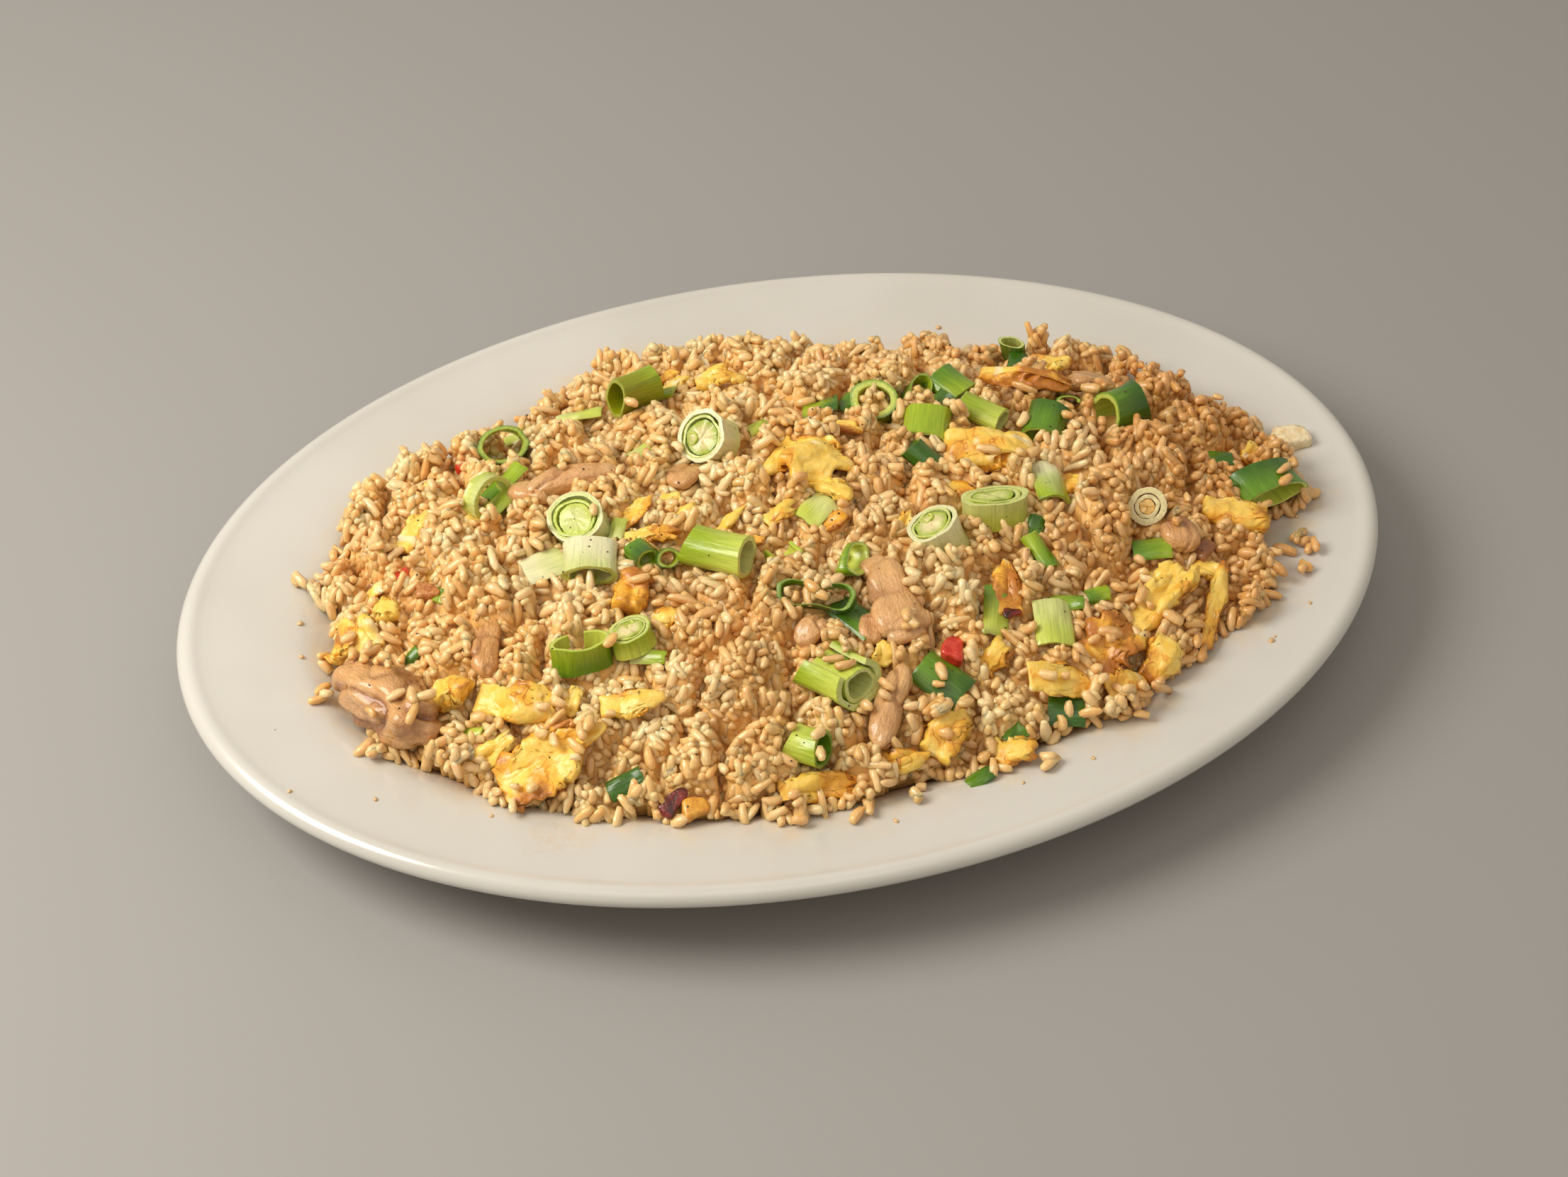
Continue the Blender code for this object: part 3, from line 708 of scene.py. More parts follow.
def chicken_material():
    """Cooked chicken: tint holds browning with painted shade in the clefts, pinkness and paleness; fibres
    run along the piece.
    """
    material, tree, shader = new_material(
        "cooked_chicken", Subsurface_Weight=0.25, Subsurface_Scale=1.2 * MM,
        Subsurface_Radius=(1.0, 0.5, 0.3), Coat_Weight=0.7, Coat_Roughness=0.1,
    )
    brown, pink, pale = tint_parts(tree)
    where = local_point(tree)
    fibres = noise_node(tree, local_point(tree, (0.16, 1.0, 1.0)), 0.9, 4.0, 0.6, 0.6)
    blotch = noise_node(tree, where, 4.0, 3.0, 0.6, 0.5)
    body = mix_colour(tree, span(tree, blotch, 0.3, 0.72), CHICKEN_TAN, CHICKEN_LIGHT)
    flush = maths(tree, "MULTIPLY", pink, span(tree, blotch, 0.25, 0.6, 0.4, 1.0))
    body = mix_colour(tree, flush, body, CHICKEN_PINK)
    body = mix_colour(tree, pale, body, CHICKEN_PALE)
    body = mix_colour(tree, span(tree, fibres, 0.55, 0.8, 0.0, 0.35), body, CHICKEN_PALE)
    crust_and_cleft_shade = maths(tree, "ADD", brown, about_middle(tree, blotch, 0.8))
    body = mix_colour(tree, span(tree, crust_and_cleft_shade, 0.35, 0.95), body, CHICKEN_BROWN_AND_SHADE)
    tree.links.new(body, shader.inputs["Base Color"])
    tree.links.new(span(tree, fibres, 0.3, 0.7, 0.24, 0.42), shader.inputs["Roughness"])
    bumps(tree, shader, (fibres, 0.55), (noise_node(tree, where, 1.2, 3.0), 0.45))
    return material


def scallion_material():
    """Cut scallion: tint is the leaf's colour, and fine veins run along it."""
    material, tree, shader = new_material(
        "cut_scallion", Subsurface_Weight=0.18, Subsurface_Scale=1.0 * MM,
        Subsurface_Radius=(0.6, 1.0, 0.2), Coat_Weight=0.3, Coat_Roughness=0.1,
    )
    leaf = attribute(tree, "tint").outputs["Color"]
    veins = noise_node(tree, local_point(tree, (1.0, 1.0, 0.05)), 0.55, 2.0, 0.6)
    mottle = noise_node(tree, local_point(tree, (1.0, 1.0, 0.5)), 2.4, 3.0)
    lighter = mix_colour(tree, 0.5, leaf, VEIN_LIGHT, "SOFT_LIGHT")
    darker = mix_colour(tree, 0.55, leaf, VEIN_DARK, "MULTIPLY")
    body = mix_colour(tree, span(tree, veins, 0.52, 0.68, 0.0, 0.75), leaf, lighter)
    body = mix_colour(tree, span(tree, veins, 0.46, 0.3, 0.0, 0.55), body, darker)
    body = mix_colour(tree, span(tree, mottle, 0.55, 0.8, 0.0, 0.4), body, lighter)
    tree.links.new(body, shader.inputs["Base Color"])
    tree.links.new(span(tree, mottle, 0.3, 0.7, 0.22, 0.36), shader.inputs["Roughness"])
    bumps(tree, shader, (veins, 0.16), (mottle, 0.25))
    return material


def glaze_material():
    """Clear glossy glaze on cream china: tint holds staining by oil, bare clay and smears of sauce."""
    material, tree, shader = new_material(
        "cream_glaze", Specular_IOR_Level=0.55, Coat_Weight=0.55, Coat_Roughness=0.06,
        Subsurface_Weight=0.06, Subsurface_Scale=2.0 * MM,
    )
    stain, bare, smear = tint_parts(tree)
    where = local_point(tree)
    cloud = noise_node(tree, where, 42.0, 2.0)
    body = mix_colour(tree, span(tree, cloud, 0.3, 0.7), GLAZE_CREAM, GLAZE_LIGHT)
    uneven = span(tree, noise_node(tree, where, 7.0, 4.0, 0.65), 0.35, 0.7)
    patchy = maths(tree, "MULTIPLY", stain, uneven)
    body = mix_colour(tree, patchy, body, OIL_STAIN)
    streaks = span(tree, noise_node(tree, where, 1.6, 4.0, 0.7), 0.42, 0.62)
    smear = maths(tree, "MULTIPLY", maths(tree, "MULTIPLY", smear, streaks), 0.45)
    body = mix_colour(tree, smear, body, SAUCE_SMEAR)
    specks = add_node(tree, "ShaderNodeTexVoronoi", Vector=where, Scale=1 / 17.0, Randomness=1.0)
    speck = span(tree, specks.outputs["Distance"], 0.022, 0.012)
    chosen = add_node(tree, "ShaderNodeSeparateColor", Color=specks.outputs["Color"])
    speck = maths(tree, "MULTIPLY", speck, span(tree, chosen.outputs[0], 0.62, 0.66))
    body = mix_colour(tree, maths(tree, "MULTIPLY", speck, 0.6), body, SPECK_BROWN)
    body = mix_colour(tree, bare, body, BARE_CLAY)
    tree.links.new(body, shader.inputs["Base Color"])
    rough = span(tree, cloud, 0.3, 0.7, 0.2, 0.27)
    rough = maths(tree, "ADD", rough, maths(tree, "MULTIPLY", bare, 0.45))
    rough = maths(tree, "ADD", rough, maths(tree, "MULTIPLY", patchy, -0.08))
    tree.links.new(rough, shader.inputs["Roughness"])
    waves = noise_node(tree, where, 14.0, 2.0)
    grit = noise_node(tree, where, 1.2, 1.0)
    bumps(tree, shader, (waves, 0.12), (grit, 0.006))
    return material


def plain_material(name, colour, second, size, roughness, depth):
    """A crumb, flake or speck: two colours mottled, with fine relief."""
    material, tree, shader = new_material(
        name, Roughness=roughness, Coat_Weight=0.2, Coat_Roughness=0.15,
        Subsurface_Weight=0.15, Subsurface_Scale=1.0 * MM,
    )
    mottle = noise_node(tree, local_point(tree), size, 3.0, 0.6)
    body = mix_colour(tree, span(tree, mottle, 0.35, 0.65), colour, second)
    tree.links.new(body, shader.inputs["Base Color"])
    bumps(tree, shader, (mottle, depth))
    return material


# ---------------------------------------------------------------- the platter
def rounded_section():
    """The platter's closed section, its corners cut twice so that they come out round."""
    points = np.array(TOP_SECTION[::-1] + UNDER_SECTION)
    for _ in range(2):
        before, after = points[:-1], points[1:]
        cut = np.empty((2 * len(before), 2))
        cut[0::2] = 0.75 * before + 0.25 * after
        cut[1::2] = 0.25 * before + 0.75 * after
        points = np.concatenate((points[:1], cut, points[-1:]))
    return points


def make_plate(material):
    section = rounded_section()
    angles = np.linspace(0, math.tau, PLATE_SEGMENTS, endpoint=False)
    half_length = PLATE_HALF_LENGTH - section[:, 0]
    half_width = PLATE_HALF_WIDTH - END_TO_SIDE_INSET * section[:, 0]
    rings = np.empty((len(section), PLATE_SEGMENTS, 3))
    rings[..., 0] = half_length[:, None] * np.cos(angles)
    rings[..., 1] = half_width[:, None] * np.sin(angles)
    rings[..., 2] = section[:, 1][:, None]
    inside, under = section[0, 1], section[-1, 1]
    points = np.concatenate(([(0, 0, inside)], rings.reshape(-1, 3), [(0, 0, under)]))
    tint = np.zeros((len(points), 3))
    from_heap = heap_distance(points[:, 0], points[:, 1])
    upper = points[:, 2] > np.interp(PLATE_HALF_LENGTH - np.abs(points[:, 0]), (0, 40), (20.0, 5.0))
    tint[:, 0] = 0.55 * ease(14.0, 1.0, from_heap + 4 * noise_at(points, 11.0)) * upper
    tint[:, 1] = ease(0.5, 0.1, points[:, 2])
    for x, y, radius, strength in SMEARS:
        away = np.hypot(points[:, 0] - x, points[:, 1] - y)
        tint[:, 2] = np.maximum(tint[:, 2], strength * ease(radius, radius * 0.3, away) * upper)
    faces = ball_faces(len(section), PLATE_SEGMENTS)
    mesh = build_mesh("plate_look", points, faces, {"tint": tint, "local": points})
    add_piece("plate_look", mesh, material, "glaze", ["plate"])


def heap_distance(x, y):
    """How far a point on the rim is from the rice, roughly, in mm."""
    result = np.full(np.shape(x), 40.0)
    for distance in (30.0, 20.0, 12.0, 6.0, 2.0, 0.0):
        mask = grown(on_heap, round(distance / CELL))
        result = np.where(mask[cells_of(x, y)], distance, result)
    return result


# Sauce wiped on the glaze: x, y, radius, strength.
SMEARS = [(-84, -76, 9, 0.5), (-16, 96, 6, 0.22), (-124, 20, 7, 0.3), (120, -46, 8, 0.25)]


# ---------------------------------------------------------------- egg
# How each piece of egg is folded: bends as (place from -1 to 1, degrees), thickness, ruffle,
# how torn its outline is, and how browned it is.
EGG_FORMS = {
    "egg_big": ([(-0.45, 75), (0.05, -120), (0.6, 50)], 4.4, 1.5, 0.24, 0.34),
    "egg_chunk": ([(-0.5, 12), (0.5, -18)], 6.6, 1.7, 0.16, 0.42),
    "egg_log": ([(-0.5, 20), (0.4, -25)], 6.0, 1.5, 0.12, 0.92),
    "egg_behind": ([(0.0, 40)], 3.4, 0.8, 0.25, 0.6),
    "egg_back": ([(-0.3, 40), (0.3, -60)], 3.4, 0.7, 0.25, 0.12),
    "egg_left_strip": ([(-0.4, 25), (0.3, -35)], 3.4, 0.7, 0.20, 0.30),
    "egg_left_chunk": ([(-0.5, 60), (0.1, -85), (0.6, 40)], 4.0, 1.2, 0.28, 0.42),
    "egg_left_low": ([(-0.4, 60), (0.3, -80)], 5.4, 1.1, 0.22, 0.26),
    "egg_right": ([(-0.5, 18), (0.5, -20)], 6.0, 1.5, 0.16, 0.42),
    "egg_near": ([(-0.3, 30), (0.4, -50)], 5.2, 1.1, 0.22, 0.22),
    "egg_puff": ([(-0.3, 30), (0.3, -40)], 6.6, 1.9, 0.12, 0.74),
    "egg_blob": ([(-0.3, 40), (0.3, -50)], 4.6, 1.2, 0.25, 0.75),
    "egg_fold": ([(-0.35, 55), (0.15, -100), (0.6, 35)], 2.7, 0.8, 0.26, 0.42),
    "egg_sheet": ([(-0.6, 25), (-0.1, -30), (0.5, 28)], 2.4, 1.6, 0.35, 0.70),
    "egg_sixty": ([(-0.4, 20), (0.3, -30)], 2.8, 0.7, 0.26, 0.36),
    "egg_strip_left": ([(-0.4, 20), (0.3, -30)], 2.6, 0.6, 0.25, 0.30),
    "egg_twist": ([(-0.5, 35), (0.0, -45), (0.5, 30)], 4.8, 1.2, 0.25, 0.26),
    "egg_ruffle": ([(-0.4, 45), (0.2, -60)], 2.8, 1.6, 0.35, 0.95),
    "egg_sheet_near": ([(0.0, -25)], 2.2, 0.8, 0.30, 0.46),
    "egg_brown_strip": ([(-0.5, 15), (0.3, -20)], 2.6, 1.0, 0.28, 0.9),
    "egg_curl": ([(-0.4, -25), (0.3, -35)], 2.8, 0.7, 0.28, 0.40),
    "egg_tip_strip": ([(-0.3, 20), (0.4, -20)], 3.0, 0.6, 0.20, 0.7),
    "egg_strip_mid": ([(-0.3, 20), (0.4, -20)], 2.8, 0.6, 0.22, 0.45),
    "egg_curl_near": ([(-0.5, -30), (0.1, 30), (0.6, -35)], 2.6, 0.7, 0.28, 0.28),
}

# Smaller egg, left to this script: x, y, rise, length, width, height, turn, browning.
SMALL_EGG = [
    (-4, -4.5, 0.6, 11, 6, 3.4, 20, 0.15), (10, -1.5, 2.6, 16, 9, 6.0, -62, 0.12),
    (41, -9.6, 0.8, 12, 8, 4.0, -60, 0.75), (-39, 8.6, 0.6, 12, 6.5, 3.5, 25, 0.30),
    (-17.4, -3.3, 0.8, 12, 4.5, 3.5, 27, 0.08), (-105.6, 3.8, 1.5, 8.5, 7.5, 6.0, -60, 0.16),
    (-92.6, -48.8, 0.8, 15, 6.5, 3.5, 14, 0.20), (31.8, -62.4, 1.0, 9, 8, 6.0, 30, 0.42),
    (1.4, -81.4, 1.2, 13, 7, 4.5, 12, 0.34), (28.6, -85, 1.5, 11, 9, 6.0, -20, 0.38),
    (72, -14, 0.6, 12, 9, 4.5, -50, 0.30), (-12, 62, 0.5, 8, 6, 4, 10, 0.12),
    (-12, 71, 0.5, 7, 5, 4, -20, 0.12), (-54, 60, 0.5, 9, 6, 4, 30, 0.70),
    (-55, 50, 0.3, 6, 5, 3.5, 0, 0.15), (-47, 55, 0.3, 6, 5, 3.5, 40, 0.12),
    (-46, 38, 0.3, 7, 5, 3.5, 15, 0.05), (-86, 45, 0.5, 8, 6, 4, -15, 0.62),
    (-78, 24, 0.4, 9, 7, 4, 60, 0.60), (-91, 10, 0.4, 7, 5, 3.5, -30, 0.35),
    (-42, -28, 0.4, 8, 7, 3.0, 35, 0.55), (8, -11, 0.4, 7, 6, 3.5, 0, 0.75),
    (25, -17, 0.4, 7, 5, 3.5, 50, 0.60), (-14, -12, 0.3, 6, 5, 3.0, -10, 0.50),
    (-27, 4, 0.3, 9, 5, 3.5, 10, 0.20), (5, -55, 0.4, 7, 6, 3.5, 70, 0.35),
    (129, -4, 0.8, 8, 6, 5.0, 40, 0.80), (97, -46, 0.4, 9, 7, 4.0, -60, 0.12),
    (84, -46, 0.3, 9, 7, 3.5, 20, 0.10), (-29, 11, 0.3, 6, 4, 3.0, -40, 0.25),
    (63, 8, 0.3, 8, 5, 3.5, -20, 0.20), (-70, -44, 0.3, 8, 5, 3.5, 40, 0.15),
    (-106, 14, 0.3, 6, 5, 3.5, 0, 0.30), (38, 52, 0.5, 7, 5, 3.5, 20, 0.25),
]


def folded_sheet(size, bends, thickness, ruffle, torn, browning, seed, rows=52, columns=30):
    """Points, faces, tint and local coordinates of a torn, folded and ruffled piece of egg."""
    length, width, height = size
    u, v = np.meshgrid(np.linspace(-1, 1, rows), np.linspace(-1, 1, columns), indexing="ij")
    flat = np.stack((u, v), axis=-1)
    along = u * np.sqrt(1 - 0.32 * v * v) * (1 + torn * noise_at(flat, 0.55, seed + 0.3))
    across = v * np.sqrt(1 - 0.42 * u * u) * (1 + torn * noise_at(flat, 0.45, seed + 0.7))
    across = across * (1 + 0.6 * torn * noise_at(flat, 0.16, seed + 4.1))
    heading = np.zeros_like(u)
    reach = max(0.16, 1.5 * thickness / length)
    for index, (place, degrees) in enumerate(bends):
        shifted = place + 0.22 * noise_at(flat[..., 1:], 0.8, seed + index)
        heading += math.radians(degrees) * ease(-reach, reach, along - shifted)
    steps = np.gradient(along, axis=0) * length / 2
    x = np.cumsum(np.cos(heading) * steps, axis=0)
    z = np.cumsum(np.sin(heading) * steps, axis=0)
    sheet = np.stack((x, across * width / 2, z), axis=-1)
    normal = surface_normals(sheet)
    crumple = ruffle * noise_at(sheet, 7.5, seed + 1.0) + 0.32 * ruffle * noise_at(sheet, 3.0, seed + 2.0)
    crease = np.abs(noise_at(sheet, 8.0, seed + 3.0))
    crumple -= 0.3 * ruffle * ease(0.3, 0.0, crease)
    sheet = sheet + normal * crumple[..., None]
    edge = 1 - np.maximum(np.abs(u), np.abs(v)) ** 6
    half = 0.5 * thickness * (0.22 + 0.78 * np.sqrt(np.clip(edge, 0, 1)))
    half = half * (1 + 0.3 * noise_at(sheet, 4.0, seed + 5.0)) + 0.10 * noise_at(sheet, 1.4, seed + 6.0)
    top = sheet + normal * half[..., None]
    bottom = sheet - normal * half[..., None]
    points = np.concatenate((top.reshape(-1, 3), bottom.reshape(-1, 3)))
    middle = (points.max(0) + points.min(0)) / 2
    extent = points.max(0) - points.min(0)
    points = (points - middle) * np.array((length, width, max(height, thickness))) / extent
    ridge = np.concatenate((crumple.ravel(), crumple.ravel())) / max(ruffle, 0.1)
    border = np.concatenate((1 - edge.ravel(), 1 - edge.ravel()))
    patches = noise_at(points, 6.0, seed + 8.0)
    pan_side = np.repeat((0.0, 0.3), rows * columns)
    brown = 0.86 * browning + 0.72 * patches + 0.1 * ridge + 0.25 * browning * border + pan_side
    white = 0.75 * ease(0.5, 0.8, noise_at(points, 3.6, seed + 9.0))
    tint = np.clip(np.stack((brown, white, np.zeros_like(brown)), axis=1), 0, 1)
    return points, skin_faces(rows, columns), tint


def make_egg(material):
    for name, (bends, thickness, ruffle, torn, browning) in EGG_FORMS.items():
        middle, axes, size = node_frame(name)
        size = size * SCALES.get(name, 1.04)
        seed = seed_of(name, 97)
        shape, faces, tint = folded_sheet(size, bends, thickness, ruffle, torn, browning, seed)
        layers = {"tint": tint, "local": shape}
        mesh = build_mesh(name + "_look", middle + shape @ axes, faces, layers)
        add_look(name, mesh, material)
    build = Build()
    for index, (x, y, rise, length, width, height, turn, browning) in enumerate(SMALL_EGG):
        bends = [(-0.3, 40 + 7 * (index % 5)), (0.35, -60 + 9 * (index % 4))]
        size = (length, width, height)
        form = folded_sheet(size, bends, 0.6 * height, 0.8, 0.3, browning, 100 + index, 22, 14)
        lay(build, (x, y, rise), turn, form, 40 * index)
    add_topping("egg_small", build.mesh("egg_small"), material, "egg")


# ---------------------------------------------------------------- chicken
# Each piece's lobes (depth in mm), taper to its far end, sideways bend, browning, pinkness, paleness.
CHICKEN_FORMS = {
    "chicken_long": (0.9, 0.10, 0.16, 0.34, 0.30, 0.15),
    "chicken_lump": (1.5, 0.05, 0.05, 0.50, 0.12, 0.05),
    "chicken_slab": (1.1, 0.22, 0.05, 0.34, 0.30, 0.15),
    "chicken_lower": (0.35, 0.10, 0.10, 0.40, 0.14, 0.15),
    "chicken_pink": (0.8, 0.20, 0.05, 0.16, 0.95, 0.20),
    "chicken_grey": (0.5, 0.05, 0.10, 0.40, 0.60, 0.05),
    "chicken_sliver": (0.5, 0.30, 0.15, 0.34, 0.50, 0.00),
}

# Smaller chicken: x, y, rise, length, width, height, turn, browning, pinkness.
SMALL_CHICKEN = [
    (-22.5, 19.5, -0.4, 11, 9, 4.0, 20, 0.40, 0.2), (96.4, 30, 0.8, 14, 9, 6.0, -12, 0.30, 0.4),
    (-62, 27, 1.0, 8, 12, 6.5, 60, 0.40, 0.2), (98, -39, -0.3, 7, 6, 3.5, 30, 0.60, 0.1),
    (4, -48, 0.6, 9, 6, 5.0, 75, 0.25, 0.7), (-104, -36, 0.4, 9, 7, 5.0, -60, 0.35, 0.2),
    (12, -30, 0.5, 8, 6, 4.5, 10, 0.30, 0.5),
]


def meat_chunk(
    size, lobes, taper, bend, browning, pinkness, paleness, seed, rings=30, sides=30, square=2.6,
):
    """Points, faces and tint of a piece of chicken, drawn out along x, with lobes and clefts."""
    length, width, height = size
    place = -np.cos(math.pi * (np.arange(rings) + 1) / (rings + 1))
    angle = math.tau * np.arange(sides) / sides
    t, phi = np.meshgrid(place, angle, indexing="ij")
    radius = (1 - np.abs(t) ** square) ** 0.5 * (1 - taper * t)
    corners = (np.abs(np.cos(phi)) ** square + np.abs(np.sin(phi)) ** square) ** (-1 / square)
    across = radius * corners * np.cos(phi) * width / 2
    up = radius * corners * np.sin(phi) * height / 2
    shape = np.stack((t * length / 2, across, up), axis=-1).reshape(-1, 3)
    shape = np.concatenate(([(-length / 2, 0, 0)], shape, [(length / 2, 0, 0)]))
    shape[:, 1] += bend * width * np.cos(math.pi * shape[:, 0] / length)
    outward = shape / (np.array(size) / 2) ** 2
    outward /= np.linalg.norm(outward, axis=1, keepdims=True) + 1e-9
    cleft = np.abs(noise_at(shape, 7.5, seed))
    swell = lobes * noise_at(shape, 5.5, seed + 1) + 0.4 * lobes * noise_at(shape, 2.6, seed + 2)
    swell -= 1.1 * lobes * ease(0.16, 0.0, cleft)
    fibre = noise_at(shape * np.array((0.3, 1.0, 1.0)), 1.3, seed + 3)
    shape = shape + outward * (swell + 0.14 * noise_at(shape, 1.2, seed + 3) + 0.14 * fibre)[:, None]
    middle = (shape.max(0) + shape.min(0)) / 2
    shape = (shape - middle) * np.array(size) / (shape.max(0) - shape.min(0))
    patches = noise_at(shape, 7.0, seed + 4)
    # Painted shade: the clefts get browner, standing in for the shade in them; the rest is real browning.
    brown = browning + 0.3 * patches + 0.35 * ease(0.2, 0.0, cleft)
    pink = pinkness * (0.65 + 0.6 * noise_at(shape, 8.0, seed + 5))
    pale = paleness + 0.3 * ease(0.3, 0.9, noise_at(shape, 4.0, seed + 6))
    return shape, ball_faces(rings, sides), np.clip(np.stack((brown, pink, pale), axis=1), 0, 1)


def make_chicken(material):
    for name, (lobes, taper, bend, browning, pinkness, paleness) in CHICKEN_FORMS.items():
        middle, axes, size = node_frame(name)
        size = size * SCALES.get(name, 1.0)
        seed = seed_of(name, 89)
        shape, faces, tint = meat_chunk(
            size, lobes, taper, bend, browning, pinkness, paleness, seed, 44, 40,
        )
        layers = {"tint": tint, "local": shape}
        mesh = build_mesh(name + "_look", middle + shape @ axes, faces, layers)
        add_look(name, mesh, material)
    build = Build()
    for index, (x, y, rise, length, width, height, turn, browning, pinkness) in enumerate(SMALL_CHICKEN):
        size = (length, width, height)
        form = meat_chunk(size, 1.0, 0.15, 0.1, browning, pinkness, 0.1, 200 + index, 24, 24, 4.0)
        lay(build, (x, y, rise), turn, form, 40 * index)
    add_topping("chicken_small", build.mesh("chicken_small"), material, "chicken")


# ---------------------------------------------------------------- scallion
# What lies inside a stem: radius and wall as shares of the stem's radius, shift across it in the
# same shares, share of its length, and the colours outside and inside.
INSIDES = {
    "none": [],
    "lining": [(0.84, 0.10, 0.03, 0.02, 0.94, "lime pale")],
    "ring": [(0.66, 0.15, 0.10, 0.06, 0.95, "lime pale")],
    "small_ring": [(0.42, 0.14, 0.16, 0.30, 1.0, "bright pale")],
    "rings": [
        (0.78, 0.12, 0.05, 0.03, 1.0, "bright lime"),
        (0.60, 0.58, 0.05, 0.03, 0.84, "lime pale"),
    ],
    "cream": [
        (0.62, 0.20, 0.02, -0.02, 0.95, "cream cream"),
        (0.40, 0.38, 0.03, -0.03, 0.7, "rice rice"),
    ],
    "core": [
        (0.80, 0.10, 0.02, 0.02, 0.99, "lime pale"),
        (0.66, 0.64, 0.03, 0.03, 0.96, "bright cream"),
        (0.24, 0.08, 0.26, -0.32, 1.0, "bright lime"),
    ],
    "full": [
        (0.80, 0.14, 0.02, 0.0, 0.99, "lime pale"),
        (0.60, 0.56, 0.04, 0.05, 0.97, "bright pale"),
    ],
}


def stem(
    diameter, length, flatness, wall, azimuth, elevation, colours,
    inside="none", sweep=360, waist=0, slant=0,
):
    """A stem's form: sizes in mm, where it points, its colours, and the leaves inside it.

    The colours are those at its near end, at its far end and inside. The wall goes sweep degrees
    round; the gap is above if sweep is negative, else below. The slant is that of the cuts.
    """
    return diameter, length, flatness, wall, azimuth, elevation, colours, inside, sweep, waist, slant


STEM_FORMS = {
    "scallion_leaf_back": stem(7.5, 13.0, 1.5, 0.8, -158, 6, "bright olive olive", slant=0.1),
    "scallion_ring_left": stem(13, 9.5, 0.72, 1.3, -96, 44, "dark green bright", slant=0.1),
    "scallion_loop_left": stem(13.5, 4.5, 0.85, 1.4, -56, 17, "lime pale lime"),
    "scallion_ring_big": stem(14.5, 6.5, 0.92, 1.3, -152, 64, "pale white pale", "rings", slant=0.05),
    "scallion_rib_left": stem(13.5, 11, 0.55, 1.4, -108, -4, "white pale lime", "lining"),
    "scallion_white_core": stem(13.5, 8, 1.0, 1.1, -153, 45, "pale white white", "core"),
    "scallion_oval_ring": stem(12.2, 4.0, 0.85, 1.9, -120, 54, "bright green lime", slant=0.1),
    "scallion_leaf_mid": stem(10.5, 10.5, 0.5, 0.9, -62, -8, "green bright lime", slant=0.2),
    "scallion_bright_mid": stem(12, 11, 0.55, 1.1, -116, -6, "bright bright lime", "lining"),
    "scallion_tube_mid": stem(8, 13, 0.7, 1.0, -48, -6, "bright lime pale", slant=0.3),
    "scallion_big_dark": stem(10.5, 11.5, 1.4, 1.2, -163, 4, "dark green lime", slant=0.15),
    "scallion_green_tube": stem(10.5, 12, 0.75, 1.0, -126, -8, "dark green bright", slant=0.2),
    "scallion_half_right": stem(17.5, 10, 0.42, 1.3, -84, -3, "dark green lime"),
    "scallion_big_pale": stem(17, 8, 0.55, 1.5, 82, 80, "lime pale pale", "full"),
    "scallion_white_mid": stem(13, 9.5, 0.95, 1.1, 150, 68, "pale white white", "core"),
    "scallion_white_right": stem(9.5, 4.5, 1.0, 1.5, -116, 45, "cream cream cream", "cream"),
    "scallion_pointed": stem(10.5, 4.6, 0.6, 1.0, -38, 23, "bright green lime", slant=0.5),
    "scallion_bright_low": stem(11, 16, 0.85, 1.3, -42, 5, "bright lime pale", "lining", slant=0.2),
    "scallion_c_ring": stem(14.5, 7.5, 0.6, 1.2, 88, 80, "green bright lime", sweep=325),
    "scallion_light_ring": stem(11, 5.5, 0.9, 1.0, 128, 74, "lime bright pale", "core"),
    "scallion_double": stem(18.5, 3.4, 0.55, 1.0, -116, 62, "dark green green", waist=0.5),
    "scallion_folded": stem(
        14.5, 15, 0.74, 1.7, -64, 12, "bright lime pale", "ring", sweep=-285, slant=0.35,
    ),
    "scallion_pale_half": stem(10, 8.5, 0.85, 1.2, -44, 6, "lime bright green", slant=0.2),
}

# Cut leaves that lie flat: thickness, arch across, colour at the near end and at the far end.
LEAF_FORMS = {
    "scallion_strip_back": (1.2, 1.2, "pale lime"),
    "scallion_curved": (1.3, 2.2, "bright white"),
    "scallion_rect": (1.2, 1.6, "lime pale"),
    "scallion_wide_leaf": (1.1, 1.8, "green dark"),
}

# Smaller stems, left to this script: x, y, rise over the rice, form.
SMALL_STEMS = [
    (-42, -8, 0.8, stem(6.6, 6, 0.85, 1.1, -78, 12, "green dark bright")),
    (-36.5, -11.5, 0.9, stem(6, 4, 0.8, 0.9, -86, 40, "green dark bright")),
    (46, 32, 2.6, stem(10.3, 5, 0.6, 0.9, -40, 60, "dark green bright")),
    (37.5, 4.7, 1.2, stem(7, 9, 0.8, 0.9, -55, -20, "dark dark green", slant=0.2)),
    (82, 52, 2.8, stem(7.3, 8, 0.55, 0.8, -134, 66, "dark green pale", slant=0.5)),
    (54, -35.4, 1.6, stem(4.6, 11, 0.85, 0.8, -74, -22, "bright green lime", slant=0.2)),
    (-8.5, -19.3, 1.0, stem(8, 6, 0.75, 0.9, -80, 12, "bright bright lime", sweep=-230, slant=0.3)),
    (84.5, 20, 2.2, stem(6, 10, 0.4, 0.8, -110, 35, "dark green bright", sweep=220, slant=0.3)),
    (84.5, 29, 1.6, stem(6.5, 6, 0.6, 0.8, -120, 60, "green bright lime", sweep=240, slant=0.3)),
    (51, 26, 1.2, stem(7, 6, 0.6, 0.8, 20, 30, "green dark bright", sweep=250, slant=0.2)),
]

